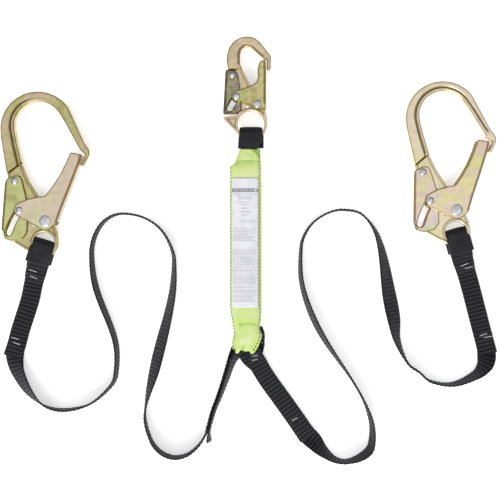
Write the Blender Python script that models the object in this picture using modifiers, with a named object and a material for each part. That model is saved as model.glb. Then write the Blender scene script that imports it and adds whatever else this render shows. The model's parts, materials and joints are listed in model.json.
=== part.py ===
"""Twin-leg shock absorbing lanyard, laid out flat on a floor at Z = 0.

A snap hook holds the covered energy absorber. Two webbing legs leave the absorber, each
with a large rebar hook on its end. Blender 4.5, +Z up. The design numbers are in
millimetres, and MM turns them into Blender's metres where a mesh is made. A hook is drawn
in its own plane with its eye at (0, 0), and is placed by its eye.
"""

import math

import bmesh
import bpy
from mathutils import Matrix, Vector

MM = 0.001
WELD = 0.000001  # metres

# ---------------------------------------------------------------- driving dimensions, mm
CENTRE = (-1.92, 5.34)  # middle of the hooks and the absorber, which becomes the origin
HOOK_MID = 10.5  # height of the hooks' middle plane
CLEAR = 0.3  # between pieces that touch
PLATE_HALF = 3.5  # half thickness of a hook's flat body
LEVER_IN, LEVER_OUT = 4.3, 6.1  # the lever's side plates, from the middle plane
GATE_IN, GATE_OUT = 6.4, 8.4  # the gate's side plates

WEBBING = 25.0  # width of the legs
WEB_THICK = 3.0
PLY_HALF = 1.65  # half the distance between two plies that are sewn together
EYE_FOLD = 6.65  # radius of the webbing's middle in a hook's eye
NECK_FOLD = 7.3  # and in the absorber's neck
FOLD_STEPS = 8  # sections in the half turn of a sleeve, and of the top strap
SLEEVE_WALL = 0.7
SLEEVE_REACH = 25.0  # how far a sleeve runs on past the fold
SLEEVE_MID = WEB_THICK / 2 + CLEAR + SLEEVE_WALL / 2  # from the ply's middle
FLOOR_GAP = 0.1

COVER_WALL = 1.0
COVER_POWER = 3.5  # how square the absorber's section is
COVER_SIDES = 24
LABEL_THICK = 0.5

# ---------------------------------------------------------------- scene and helpers
for old in list(bpy.data.objects):
    bpy.data.objects.remove(old)

LANYARD = bpy.data.collections.new("shock_absorbing_lanyard")
CUTTERS = bpy.data.collections.new("cutters")
bpy.context.scene.collection.children.link(LANYARD)
bpy.context.scene.collection.children.link(CUTTERS)


def material(name, colour, roughness, metallic):
    made = bpy.data.materials.new(name)
    made.use_nodes = True
    shader = made.node_tree.nodes["Principled BSDF"]
    shader.inputs["Base Color"].default_value = (*colour, 1)
    shader.inputs["Roughness"].default_value = roughness
    shader.inputs["Metallic"].default_value = metallic
    return made


GOLD = (0.62, 0.52, 0.30)
GOLD_PLATE = (0.66, 0.58, 0.42)
ZINC = (0.70, 0.71, 0.74)
BLACK = (0.03, 0.03, 0.035)
SLEEVE_BLACK = (0.022, 0.022, 0.026)
LIME = (0.60, 0.83, 0.25)
WHITE = (0.80, 0.79, 0.84)
CORE = (0.35, 0.33, 0.30)


def finish(obj, colour, roughness, metallic):
    """Gives a node its own material and smooth shading."""
    obj.data.materials.clear()
    obj.data.materials.append(material(obj.name, colour, roughness, metallic))
    obj.data.shade_smooth()
    obj.data.set_sharp_from_angle(angle=math.radians(30))
    return obj


def new_object(name, mesh, collection=LANYARD):
    obj = bpy.data.objects.new(name, mesh)
    collection.objects.link(obj)
    return obj


def mesh_of_curve(name, curve, collection=LANYARD):
    """A mesh object with the curve's shape and its caps welded."""
    guide = new_object(name + "_guide", curve, CUTTERS)
    bpy.context.view_layer.update()
    evaluated = guide.evaluated_get(bpy.context.evaluated_depsgraph_get())
    mesh = bpy.data.meshes.new_from_object(evaluated)
    bpy.data.objects.remove(guide)
    shape = bmesh.new()
    shape.from_mesh(mesh)
    bmesh.ops.remove_doubles(shape, verts=shape.verts, dist=WELD)
    bmesh.ops.recalc_face_normals(shape, faces=shape.faces)
    shape.to_mesh(mesh)
    shape.free()
    mesh.name = name
    return new_object(name, mesh, collection)


def flat_solid(name, outlines, low, high, round_edge=0.0, collection=LANYARD):
    """A flat piece between two heights. The outlines after the first are its holes."""
    curve = bpy.data.curves.new(name, "CURVE")
    curve.dimensions = "2D"
    curve.fill_mode = "BOTH"
    curve.extrude = ((high - low) / 2 - round_edge) * MM
    curve.bevel_depth = round_edge * MM
    curve.bevel_resolution = 1
    curve.offset = -round_edge * MM
    for outline in outlines:
        spline = curve.splines.new("POLY")
        spline.points.add(len(outline) - 1)
        spline.use_cyclic_u = True
        for point, (x, y) in zip(spline.points, outline):
            point.co = (x * MM, y * MM, 0, 1)
    obj = mesh_of_curve(name, curve, collection)
    obj.data.transform(Matrix.Translation((0, 0, (low + high) / 2 * MM)))
    return obj


def combine(obj, other, operation):
    """A Boolean modifier on obj, with the other piece kept as a hidden cutter."""
    modifier = obj.modifiers.new(operation.lower(), "BOOLEAN")
    modifier.operation = operation
    modifier.object = other
    other.hide_render = True
    other.display_type = "WIRE"
    return obj


def arc(centre, radius, start, end, steps):
    """Points on a circle from one angle to another, in degrees."""
    turns = (math.radians(start + (end - start) * i / steps) for i in range(steps + 1))
    return [(centre[0] + radius * math.cos(a), centre[1] + radius * math.sin(a)) for a in turns]


def circle(centre, radius, steps=20):
    return arc(centre, radius, 0, 360 - 360 / steps, steps - 1)


def rounded(corners, steps=2):
    """An outline through corners (x, y), where (x, y, radius) is rounded off."""
    outline = []
    for i, corner in enumerate(corners):
        here = Vector(corner[:2])
        if len(corner) == 2:
            outline.append(tuple(here))
            continue
        before = Vector(corners[i - 1][:2]) - here
        after = Vector(corners[(i + 1) % len(corners)][:2]) - here
        reach = corner[2] / math.tan(before.angle(after) / 2)
        reach = min(reach, 0.48 * before.length, 0.48 * after.length)
        start = here + before.normalized() * reach
        end = here + after.normalized() * reach
        for k in range(steps + 1):
            t = k / steps
            outline.append(tuple(start.lerp(here, t).lerp(here.lerp(end, t), t)))
    return outline


def turned_about(point, pivot, degrees):
    """A point in a hook's plane, turned anticlockwise about a pivot."""
    turn = Matrix.Rotation(math.radians(degrees), 2)
    return Vector(pivot) + turn @ (Vector(point) - Vector(pivot))


def slot_outline(path, half_width, steps=4):
    """The outline of a curved slot with round ends about a path."""
    path = [Vector(p) for p in path]
    sides = {1: [], -1: []}
    for i, p in enumerate(path):
        along = (path[min(i + 1, len(path) - 1)] - path[max(i - 1, 0)]).normalized()
        across = Vector((-along.y, along.x)) * half_width
        for side in sides:
            sides[side].append(tuple(p + side * across))
    first = math.degrees(math.atan2(*(path[0] - path[1]).yx))
    last = math.degrees(math.atan2(*(path[-1] - path[-2]).yx))
    start_cap = arc(path[0], half_width, first - 90, first + 90, steps)
    end_cap = arc(path[-1], half_width, last - 90, last + 90, steps)
    # The start cap runs from the path's left side round to its right side.
    return start_cap[1:-1] + sides[-1] + end_cap[1:-1] + sides[1][::-1]


# ---------------------------------------------------------------- the two kinds of hook
REBAR = {
    "eye_radius": 14.0,
    "gate_pivot": (2.6, 28.8),
    "tail_pin": (-32.3, 43.5),
    "lever_pivot": (-39.2, 82.8),
    "gate_swing": 38.0,
    "lever_swing": 10.0,
    "bar_half": 6.8,
    "bar_edge": 1.5,
    "boss": 6.0,
    "gate_shank": 3.0,
    "tail_shank": 2.5,
    "heads": (7.5, 4.6, 4.6),  # radii at the gate, the tail and the lever
    "slot_half": 4.6,
    "slot_run": 6.0,  # how far the slot runs on past the pin's last place
    "coil": 7.4,
    "gate_leg": (23.5, 54.0),
    "body_leg": (-16.5, 22.5),
    "lever_coil": ((-50.8, 62.5), -37.0, 2.9),  # start, end along X, radius
    "bar": [
        (-49.5, 91.8, 1.5), (-55.4, 127.0),
        *arc((-8.0, 152.5), 50.6, 187.5, 37.5, 12),
        (54.6, 134.4, 3), (61.9, 123.8, 3), (61.9, 117.6, 2), (53.7, 101.8, 1), (49.2, 104.2, 1),
        (56.0, 117.9, 0.8), (49.0, 124.6, 1), (41.3, 137.7), (28.4, 161.6),
        *arc((-7.0, 157.0), 32.5, 37.5, 187.5, 10),
        (-35.2, 130.8), (-29.4, 107.0), (-37.2, 101.6, 1),
    ],
    "plate": [
        (-45.5, 107.0), (-36.0, 112.0), (-28.9, 104.4), (-20.0, 82.8), (-7.4, 61.8, 3),
        (3.0, 48.0), (9.6, 39.4, 4), *arc((2.6, 28.8), 12.5, 30, -22, 4), (18.4, 13.0, 4),
        *arc((0.0, 0.0), 20.0, 8, -118, 10), (-24.9, -9.6), (-44.0, 2.4, 1), (-42.5, 8.6, 1),
        (-28.6, 13.0, 3), (-27.4, 40.0, 4), (-29.5, 52.0, 3), (-36.2, 56.5, 1),
        (-36.2, 69.2, 1), (-45.6, 71.5, 1), (-48.2, 84.0), (-49.2, 92.5),
    ],
    "gate": [
        (36.4, 121.2, 2), (52.0, 117.9, 1), (48.7, 105.7), (38.1, 77.9), (25.0, 45.1),
        (18.0, 25.5, 4), *arc((2.6, 28.8), 12.4, -40, -115, 4), (-22.5, 28.8), (-37.2, 36.4, 4),
        (-39.9, 44.5, 4), (-36.0, 52.0, 4), (-20.8, 58.4), (-6.1, 61.7), (2.1, 62.3, 5),
        (11.9, 74.6), (21.7, 89.3), (29.9, 105.7),
    ],
    "gate_inside": [
        (51.2, 124.0), (50.2, 118.6), (46.9, 106.3), (36.3, 78.6), (23.2, 45.8), (17.0, 27.4),
        (34.0, 27.4), (34.0, 0.0), (-60.0, 0.0), (-60.0, 124.0),
    ],
    "lever": [
        (-38.0, 90.4, 6), (-49.4, 85.6, 2), (-52.0, 80.0), (-56.8, 17.3, 1), (-54.4, 14.0),
        (-52.6, 4.6, 4), (-43.7, 1.6), (-29.0, 4.0, 5), (-22.0, 12.4, 4), (-21.2, 27.1),
        (-22.1, 56.6), (-28.4, 82.6, 3), (-31.4, 89.4, 3),
    ],
    "lever_inside": [
        (-50.2, 96.0), (-50.2, 82.0), (-55.0, 17.0), (-60.0, 17.0), (-60.0, -4.0), (0.0, -4.0),
        (0.0, 96.0),
    ],
}

SNAP = {
    "eye_radius": 18.0,
    "gate_pivot": (8.6, 26.6),
    "tail_pin": (-19.5, 36.9),
    "lever_pivot": (-25.1, 65.8),
    "gate_swing": 26.0,
    "lever_swing": 8.0,
    "bar_half": 5.4,
    "bar_edge": 1.3,
    "boss": 4.4,
    "gate_shank": 2.4,
    "tail_shank": 2.2,
    "heads": (5.3, 4.6, 4.2),
    "slot_half": 3.9,
    "slot_run": 3.0,
    "coil": 5.7,
    "gate_leg": (16.6, 46.0),
    "body_leg": (-11.0, 24.0),
    "lever_coil": ((-32.8, 54.6), -25.1, 2.4),
    "bar": [
        (-30.9, 73.2, 1), (-32.6, 84.0), (-32.4, 91.8), (-29.6, 102.6), (-23.4, 111.2),
        (-14.4, 116.4), (-4.6, 117.9), (5.2, 115.9), (12.2, 110.2), (18.7, 101.6),
        (26.8, 91.4, 2), (26.8, 74.4, 2), (24.0, 71.4, 1.5), (21.2, 74.4, 1.5), (21.4, 86.8, 1),
        (16.4, 88.6), (7.6, 96.2), (2.0, 101.6), (-2.9, 104.0), (-8.7, 104.0), (-13.2, 99.8),
        (-15.0, 93.0), (-14.5, 80.0), (-12.0, 74.2),
    ],
    "plate": [
        (-27.5, 79.0), (-17.0, 79.0), (-11.8, 73.6), (-7.2, 64.9), (-0.5, 51.8), (5.0, 43.0),
        (9.5, 36.5, 3), *arc((8.6, 26.6), 9.0, 38, -24, 3), (19.4, 17.4, 2), (22.0, 6.0),
        *arc((0.0, 0.0), 22.0, 0, -135, 11), (-37.6, 7.6, 1), (-36.6, 10.2, 1), (-20.6, 10.6, 1),
        (-16.6, 16.0, 2), (-16.4, 41.4, 2), (-24.4, 49.6, 1), (-24.4, 59.4, 1), (-30.2, 61.0, 1),
        (-31.0, 74.0),
    ],
    "gate": [
        (12.6, 84.4, 1.5), (19.6, 85.5, 1), (20.2, 70.0), (20.0, 19.2, 2), (5.0, 19.2, 3),
        (-1.6, 25.7, 3), (-12.8, 29.1), (-22.4, 30.6, 3), (-26.8, 35.0, 3), (-25.1, 41.8, 3),
        (-18.4, 44.8), (-8.3, 48.1), (0.6, 51.5), (7.6, 56.0, 3), (9.6, 63.6), (9.0, 73.9),
        (10.7, 80.6),
    ],
    "gate_inside": [
        (17.9, 92.0), (18.3, 70.0), (18.3, 27.4), (30.0, 27.4), (30.0, 8.0), (-44.0, 8.0),
        (-44.0, 92.0),
    ],
    "lever": [
        (-27.0, 72.4, 4), (-34.2, 72.4, 1), (-37.5, 13.8, 1), (-18.0, 14.4, 3), (-12.3, 19.2, 2),
        (-14.5, 49.2), (-17.0, 65.0, 2), (-19.4, 71.4, 3),
    ],
    "lever_inside": [
        (-32.2, 80.0), (-35.6, 17.6), (-42.0, 17.6), (-42.0, 0.0), (0.0, 0.0), (0.0, 80.0),
    ],
}


def slot_path(kind, steps=6):
    """Where the tail pin goes in the lever as the gate opens and the lever follows."""
    path = []
    for i in range(steps + 1):
        share = i / steps
        pin = turned_about(kind["tail_pin"], kind["gate_pivot"], share * kind["gate_swing"])
        path.append(turned_about(pin, kind["lever_pivot"], -share * kind["lever_swing"]))
    onward = (path[-1] - path[-2]).normalized()
    path.append(path[-1] + onward * kind["slot_run"])
    return path


def channel(name, outline, holes, inside, inner, outer):
    """A pressed steel channel: two side plates and a spine where the inside doesn't reach."""
    obj = flat_solid(name, [outline, *holes], -outer, outer)
    cutter = flat_solid(name + "_inside", [inside], -inner, inner, collection=CUTTERS)
    return combine(obj, cutter, "DIFFERENCE"), cutter


def rivet(name, centre, shank, head, top, under):
    """A rivet through the hook, with a shallow dimple in each head."""
    dimple = 0.42 * head
    upper = [(0.0, top - 0.5), (dimple, top), (0.85 * head, top - 0.2), (head, under), (shank, under)]
    profile = upper + [(r, -z) for r, z in reversed(upper)]
    shape = bmesh.new()
    verts = [shape.verts.new((r * MM, 0, z * MM)) for r, z in profile]
    for a, b in zip(verts, verts[1:]):
        shape.edges.new((a, b))
    mesh = bpy.data.meshes.new(name)
    shape.to_mesh(mesh)
    shape.free()
    obj = new_object(name, mesh)
    screw = obj.modifiers.new("turn", "SCREW")
    screw.steps = 12
    screw.render_steps = 12
    screw.use_merge_vertices = True
    screw.merge_threshold = 0.0001
    obj.location = (centre[0] * MM, centre[1] * MM, 0)
    return obj


def wire(name, points, radius, sides):
    """A spring's wire through points in millimetres, with 4 sides or 6."""
    curve = bpy.data.curves.new(name, "CURVE")
    curve.dimensions = "3D"
    curve.bevel_depth = radius * MM
    curve.bevel_resolution = sides // 2 - 2
    curve.use_fill_caps = True
    spline = curve.splines.new("POLY")
    spline.points.add(len(points) - 1)
    for point, co in zip(spline.points, points):
        point.co = (*(Vector(co) * MM), 1)
    return mesh_of_curve(name, curve)


def gate_spring(name, kind):
    """Two turns of wire round the boss, one leg on the gate's spine and one by the lever."""
    pivot = Vector(kind["gate_pivot"])
    radius, pitch, turns, steps = 0.4, 0.9, 1.6, 10
    low = PLATE_HALF + CLEAR + radius
    start = math.atan2(*(Vector(kind["body_leg"]) - pivot).yx) + math.radians(65)
    coil = []
    for i in range(round(turns * steps) + 1):
        angle = start + math.tau * i / steps
        edge = pivot + kind["coil"] * Vector((math.cos(angle), math.sin(angle)))
        coil.append((*edge, low + pitch * i / steps))
    legs = ((*kind["body_leg"], low), (*kind["gate_leg"], low + pitch * turns))
    return wire(name, [legs[0], *coil, legs[1]], radius, 6)


def lever_spring(name, kind):
    """A small coil spring between the lever's spine and the body's edge."""
    (x, y), end, radius = kind["lever_coil"]
    turns, steps = 4, 7
    count = turns * steps
    points = []
    for i in range(count + 1):
        angle = math.tau * i / steps
        along = x + (end - x) * i / count
        points.append((along, y + radius * math.cos(angle), radius * math.sin(angle)))
    return wire(name, points, 0.4, 4)


def empty(name, location, parent=None, turn=0.0):
    axis = bpy.data.objects.new(name, None)
    CUTTERS.objects.link(axis)
    axis.parent = parent
    axis.location = location
    axis.rotation_euler.z = math.radians(turn)
    axis.hide_render = True
    return axis


def hang(axis, pivot, *pieces):
    """Parents pieces drawn in the hook's plane to an axis at its pivot."""
    for piece in pieces:
        piece.parent = axis
        piece.location -= Vector((pivot[0] * MM, pivot[1] * MM, 0))


def make_hook(prefix, kind, eye, turn):
    """One hook: body, gate, lock lever, three rivets and two springs."""
    place = ((eye[0] - CENTRE[0]) * MM, (eye[1] - CENTRE[1]) * MM, HOOK_MID * MM)
    hook_axis = empty(prefix + "_swivel_axis", place, turn=turn)
    gate_at, tail_at, lever_at = kind["gate_pivot"], kind["tail_pin"], kind["lever_pivot"]
    gate_axis = empty(prefix + "_gate_axis", (gate_at[0] * MM, gate_at[1] * MM, 0), hook_axis)
    lever_axis = empty(prefix + "_lever_axis", (lever_at[0] * MM, lever_at[1] * MM, 0), hook_axis)

    gate_hole = circle(gate_at, kind["gate_shank"] + CLEAR, 16)
    lever_hole = circle(lever_at, kind["tail_shank"] + CLEAR, 14)
    tail_hole = circle(tail_at, kind["tail_shank"] + CLEAR, 14)
    eye_hole = circle((0, 0), kind["eye_radius"], 40)

    body = flat_solid(
        prefix + "_body",
        [rounded(kind["plate"]), eye_hole, gate_hole, lever_hole],
        -PLATE_HALF,
        PLATE_HALF,
    )
    bar = flat_solid(
        prefix + "_bar",
        [rounded(kind["bar"])],
        -kind["bar_half"],
        kind["bar_half"],
        kind["bar_edge"],
        CUTTERS,
    )
    boss = flat_solid(
        prefix + "_boss",
        [circle(gate_at, kind["boss"], 16), gate_hole],
        -LEVER_OUT,
        LEVER_OUT,
        collection=CUTTERS,
    )
    combine(body, bar, "UNION")
    combine(body, boss, "UNION")

    gate, gate_inside = channel(
        prefix + "_gate",
        rounded(kind["gate"]),
        [gate_hole, tail_hole],
        kind["gate_inside"],
        GATE_IN,
        GATE_OUT,
    )
    lever, lever_inside = channel(
        prefix + "_lock_lever",
        rounded(kind["lever"]),
        [lever_hole, slot_outline(slot_path(kind), kind["slot_half"])],
        kind["lever_inside"],
        LEVER_IN,
        LEVER_OUT,
    )
    gate_head, tail_head, lever_head = kind["heads"]
    top, under = GATE_OUT + CLEAR + 1.6, GATE_OUT + CLEAR
    gate_rivet = rivet(prefix + "_gate_rivet", gate_at, kind["gate_shank"], gate_head, top, under)
    tail_rivet = rivet(prefix + "_tail_rivet", tail_at, kind["tail_shank"], tail_head, top, under)
    top, under = LEVER_OUT + CLEAR + 1.8, LEVER_OUT + CLEAR
    lever_rivet = rivet(
        prefix + "_lever_rivet", lever_at, kind["tail_shank"], lever_head, top, under
    )
    springs = [
        gate_spring(prefix + "_gate_spring", kind),
        lever_spring(prefix + "_lever_spring", kind),
    ]

    hang(hook_axis, (0, 0), body, bar, boss, gate_rivet, lever_rivet, *springs)
    hang(gate_axis, gate_at, gate, gate_inside, tail_rivet)
    hang(lever_axis, lever_at, lever, lever_inside)
    finish(body, GOLD, 0.35, 0.9)
    finish(gate, GOLD_PLATE, 0.35, 0.9)
    finish(lever, GOLD_PLATE, 0.35, 0.9)
    for piece in (gate_rivet, tail_rivet, lever_rivet, *springs):
        finish(piece, ZINC, 0.3, 1.0)


# ---------------------------------------------------------------- webbing
# A route's row: x, y, tilt, half the distance between its two plies, width, extra height.
# A tilt of 0 lies flat and 90 stands on edge. A single ply is a row of x, y and tilt.
def full_row(row):
    """The row with the values that a single ply leaves out."""
    return (*row, *(0.0, WEBBING, 0.0)[len(row) - 3:])


def station_of(x, y, tilt, apart, width, lift):
    """Place, tilt, half gap and width, with the lower edge on the floor plus any lift."""
    steep = math.radians(tilt)
    height = width / 2 * abs(math.sin(steep)) + (WEB_THICK / 2 + apart) * abs(math.cos(steep))
    place = Vector((x - CENTRE[0], y - CENTRE[1], height + lift + FLOOR_GAP))
    return place, tilt, apart, width


def smooth_route(rows, spacing):
    """Stations along a smooth curve through the rows."""
    rows = [full_row(row) for row in rows]
    spans = [math.dist(a[:2], b[:2]) for a, b in zip(rows, rows[1:])]
    at = [sum(spans[:i]) for i in range(len(rows))]

    def slope(i, k):
        low, high = max(i - 1, 0), min(i + 1, len(rows) - 1)
        return (rows[high][k] - rows[low][k]) / (at[high] - at[low])

    count = round(at[-1] / spacing)
    stations = []
    for step in range(count + 1):
        s = at[-1] * step / count
        i = max(j for j in range(len(spans)) if at[j] <= s + 1e-9)
        t = (s - at[i]) / spans[i]
        values = []
        for k in range(3):
            a, b = rows[i][k], rows[i + 1][k]
            da, db = slope(i, k) * spans[i], slope(i + 1, k) * spans[i]
            bend = (2 * a - 2 * b + da + db) * t**3 + (3 * b - 3 * a - 2 * da - db) * t**2
            values.append(bend + da * t + a)
        ease = t * t * (3 - 2 * t)
        for a, b in zip(rows[i][3:], rows[i + 1][3:]):
            values.append(a + (b - a) * ease)
        stations.append(station_of(*values))
    return stations


def framed(stations):
    """Adds each station's directions along, across and out of the webbing's face."""
    made = []
    for i, (place, tilt, apart, width) in enumerate(stations):
        along = stations[min(i + 1, len(stations) - 1)][0] - stations[max(i - 1, 0)][0]
        along = along.normalized()
        side = Vector((-along.y, along.x, 0)).normalized()
        steep = math.radians(tilt)
        across = side * math.cos(steep) + Vector((0, 0, math.sin(steep)))
        face = along.cross(across).normalized()
        made.append((place, along, across, face, apart, width))
    return made


def fold(station, direction, steps=6):
    """A half turn from the far ply to the near ply round a station's place."""
    place, along, across, face, apart, width = station
    sections = []
    for i in range(1, steps):
        turn = math.pi * i / steps
        out = face * math.cos(turn) + along * direction * math.sin(turn)
        sections.append((place + out * apart, across, width))
    return sections


def ribbon(name, sections, thickness):
    """A strip through sections of place, direction across and width, made solid."""
    shape = bmesh.new()
    rows = []
    for place, across, width in sections:
        half = across * width / 2
        rows.append([shape.verts.new((place + side * half) * MM) for side in (-1, 1)])
    for (a, b), (c, d) in zip(rows, rows[1:]):
        shape.faces.new((a, b, d, c))
    mesh = bpy.data.meshes.new(name)
    shape.to_mesh(mesh)
    shape.free()
    obj = new_object(name, mesh)
    thicken(obj, thickness)
    return obj


def thicken(obj, thickness):
    solid = obj.modifiers.new("thickness", "SOLIDIFY")
    solid.thickness = thickness * MM
    solid.offset = 0
    solid.use_even_offset = True


def sleeve(name, sections):
    """A flat tube round one ply of webbing, with open ends."""
    shape = bmesh.new()
    rows = []
    for place, across, face, width in sections:
        half = across * (width / 2 + CLEAR + SLEEVE_WALL / 2)
        lift = face * SLEEVE_MID
        corners = (place + half + lift, place - half + lift, place - half - lift, place + half - lift)
        rows.append([shape.verts.new(corner * MM) for corner in corners])
    for first, second in zip(rows, rows[1:]):
        for i in range(4):
            j = (i + 1) % 4
            shape.faces.new((first[i], first[j], second[j], second[i]))
    bmesh.ops.recalc_face_normals(shape, faces=shape.faces)
    mesh = bpy.data.meshes.new(name)
    shape.to_mesh(mesh)
    shape.free()
    obj = new_object(name, mesh)
    thicken(obj, SLEEVE_WALL)
    return obj


def plies(stations):
    """The near and the far ply of a doubled stretch."""
    far = [(p + f * gap, c, w) for p, _, c, f, gap, w in stations]
    near = [(p - f * gap, c, w) for p, _, c, f, gap, w in stations]
    return far, near


def make_leg(name, sleeve_name, hook_end, run, pack_end):
    """One leg: sewn back on itself at the hook and at the absorber, and a sleeve in the eye."""
    route = framed(smooth_route(hook_end + run + pack_end, 1.0))
    hook_cut = nearest(route, hook_end[-1])
    pack_cut = nearest(route, pack_end[0])
    reach = sum((s[0] - route[0][0]).length < SLEEVE_REACH for s in route[:hook_cut])
    covered = thinned(route[:reach], 6)
    hook_part = covered + thinned(route[reach - 1:hook_cut + 1], 14)[1:]
    run_part = thinned(route[hook_cut:pack_cut + 1], 18)
    pack_part = thinned(route[pack_cut:], 12)
    far_hook, near_hook = plies(hook_part)
    far_pack, near_pack = plies(pack_part)
    free = plies(run_part)[1][1:-1]
    hook_fold = fold(hook_part[0], -1)
    pack_fold = fold(pack_part[-1], 1)
    sections = far_hook[::-1] + hook_fold + near_hook + free
    sections += near_pack + pack_fold[::-1] + far_pack[::-1]
    leg = ribbon(name, sections, WEB_THICK)
    finish(leg, BLACK, 0.8, 0.0)

    around = [(p + f * gap, c, f, w) for p, _, c, f, gap, w in reversed(covered)]
    place, along, across, face, gap, width = covered[0]
    for i in range(1, FOLD_STEPS):
        turn = math.pi * i / FOLD_STEPS
        out = face * math.cos(turn) - along * math.sin(turn)
        around.append((place + out * gap, across, out, width))
    around += [(p - f * gap, c, -f, w) for p, _, c, f, gap, w in covered]
    finish(sleeve(sleeve_name, around), SLEEVE_BLACK, 0.6, 0.0)


def nearest(route, row):
    goal = station_of(*full_row(row))[0]
    return min(range(len(route)), key=lambda i: (route[i][0] - goal).length)


def thinned(stations, spacing):
    """Every so many millimetres of a closely spaced run, with both of its ends."""
    count = max(round(len(stations) / spacing), 1)
    last = len(stations) - 1
    return [stations[round(last * i / count)] for i in range(count + 1)]


LEFT_HOOK = {"eye": (-277.2, -62.5), "turn": 0.0}
RIGHT_HOOK = {"eye": (277.4, -47.8), "turn": 3.6}
SNAP_HOOK = {"eye": (1.6, 96.8), "turn": 0.0}

EYE_LIFT = HOOK_MID - EYE_FOLD - WEB_THICK / 2 - FLOOR_GAP
NECK_MID = 11.0
NECK_LIFT = NECK_MID - NECK_FOLD - WEB_THICK / 2 - FLOOR_GAP

LEFT_HOOK_END = [
    (-278.5, -66.7, 0, EYE_FOLD, 23.0, EYE_LIFT), (-285.2, -88.8, 0, EYE_FOLD, 27.5, EYE_LIFT),
    (-288.6, -100.6, 0, 4.6, 26.5, 1.4), (-293.4, -118.0, 0, 1.9, 25.0, 0.1),
    (-298.1, -140.1, 0, PLY_HALF, 25.0, 0.0), (-310.9, -180.6, 0, PLY_HALF, 25.0, 0.0),
    (-315.6, -198.5, 0, PLY_HALF, 25.0, 0.0), (-319.0, -211.7, 0, PLY_HALF, 25.0, 0.0),
]
LEFT_RUN = [
    (-318.0, -223.0, 14), (-313.4, -238.0, 32), (-297.8, -264.0, 53), (-276.0, -282.9, 80),
    (-249.0, -288.2, 90), (-215.5, -280.3, 86), (-188.5, -257.8, 83), (-180.4, -241.3, 84),
    (-181.0, -196.5, 83), (-207.5, -122.5, 81), (-213.0, -78.0, 86), (-208.8, -54.5, 87),
    (-196.8, -35.0, 88), (-179.3, -24.8, 90), (-159.0, -24.7, 90), (-138.8, -31.0, 88),
    (-121.0, -44.0, 84), (-108.2, -64.0, 80), (-102.2, -86.0, 75), (-105.6, -137.8, 63),
    (-126.8, -226.8, 51), (-141.4, -293.0, 87), (-133.0, -329.2, 90), (-119.8, -345.4, 90),
    (-102.3, -352.2, 90), (-84.8, -348.8, 90), (-71.0, -338.2, 90),
]
LEFT_PACK_END = [
    (-58.6, -323.0, 90, PLY_HALF, 25.0, 0.0), (-54.6, -309.0, 89, PLY_HALF, 25.0, 0.0),
    (-48.6, -288.5, 87, PLY_HALF, 25.0, 0.0), (-41.2, -270.0, 84, PLY_HALF, 25.0, 0.0),
    (-33.2, -248.0, 80, PLY_HALF, 25.0, 0.0), (-24.4, -222.5, 70, PLY_HALF, 24.0, 0.5),
    (-17.4, -209.0, 44, 3.0, 19.0, 1.6), (-11.6, -199.5, 14, 5.4, 13.0, 1.8),
    (-9.2, -192.5, 0, 6.9, 11.4, 2.1), (-9.2, -187.0, 0, NECK_FOLD, 11.4, NECK_LIFT),
]

RIGHT_HOOK_END = [
    (278.7, -52.0, 0, EYE_FOLD, 23.0, EYE_LIFT), (285.0, -74.5, 0, EYE_FOLD, 27.5, EYE_LIFT),
    (288.6, -87.5, 0, 4.6, 26.5, 1.4), (294.2, -104.5, 0, 1.9, 25.0, 0.1),
    (300.3, -126.0, 0, PLY_HALF, 25.0, 0.0), (311.0, -167.5, 0, PLY_HALF, 25.0, 0.0),
    (317.9, -194.1, 0, PLY_HALF, 25.0, 0.0), (321.0, -207.6, 0, PLY_HALF, 25.0, 0.0),
]
RIGHT_RUN = [
    (320.6, -219.0, 20), (315.6, -230.5, 52), (305.0, -241.0, 72), (273.5, -253.6, 86),
    (243.2, -249.4, 88), (228.5, -237.4, 88), (213.6, -226.0, 84), (198.8, -194.0, 62),
    (194.7, -165.8, 38), (189.3, -137.4, 34), (173.1, -56.5, 68), (151.0, -24.6, 86),
    (124.5, -18.6, 90), (105.6, -22.7, 90), (88.0, -33.5, 90), (75.8, -48.4, 88),
    (69.2, -67.3, 86), (70.5, -119.9, 79), (93.4, -180.6, 74), (146.1, -261.6, 90),
    (163.6, -303.5, 82), (163.6, -337.2, 76), (153.0, -349.6, 77), (131.2, -357.6, 88),
    (115.0, -354.8, 80), (98.8, -343.4, 56), (87.4, -332.0, 26),
]
RIGHT_PACK_END = [
    (75.9, -321.0, 0, PLY_HALF, 25.0, 0.0), (64.1, -304.2, 0, PLY_HALF, 25.0, 0.0),
    (43.9, -275.8, 0, PLY_HALF, 25.0, 0.0), (23.6, -247.5, 0, PLY_HALF, 25.0, 0.0),
    (11.8, -227.5, 0, 1.9, 25.0, 1.5), (6.6, -213.0, 0, 3.0, 21.0, 3.9),
    (4.6, -200.0, 0, 4.8, 13.5, 4.2), (2.8, -192.5, 0, 6.9, 11.5, 2.3),
    (2.8, -187.0, 0, NECK_FOLD, 11.4, NECK_LIFT),
]

# ---------------------------------------------------------------- the absorber
# A row of the cover: y, middle x, half width, lowest and highest point.
COVER = [
    (62.4, -1.6, 14.4, 0.6, 20.6), (56.0, -1.6, 15.4, 0.4, 21.0), (46.5, -2.3, 17.0, 0.2, 21.6),
    (41.5, -5.3, 21.2, 0.0, 22.0), (36.0, -5.5, 21.5, 0.0, 22.3), (-158.0, -5.5, 21.5, 0.0, 22.3),
    (-166.0, -5.5, 20.0, 0.0, 22.3), (-176.0, -4.4, 18.8, 0.0, 22.3),
    (-185.0, -2.3, 19.0, 0.0, 22.3), (-194.0, -3.4, 19.4, 0.0, 22.3),
    (-204.0, -4.2, 18.6, 0.0, 22.3),
]
LABEL_ENDS = (23.6, -150.0)
LABEL_SIDES = (35.0, 145.0)  # degrees round the section, from +X
CUT_THROUGH = (-4.0, 30.0)  # below the cover to above it


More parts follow.
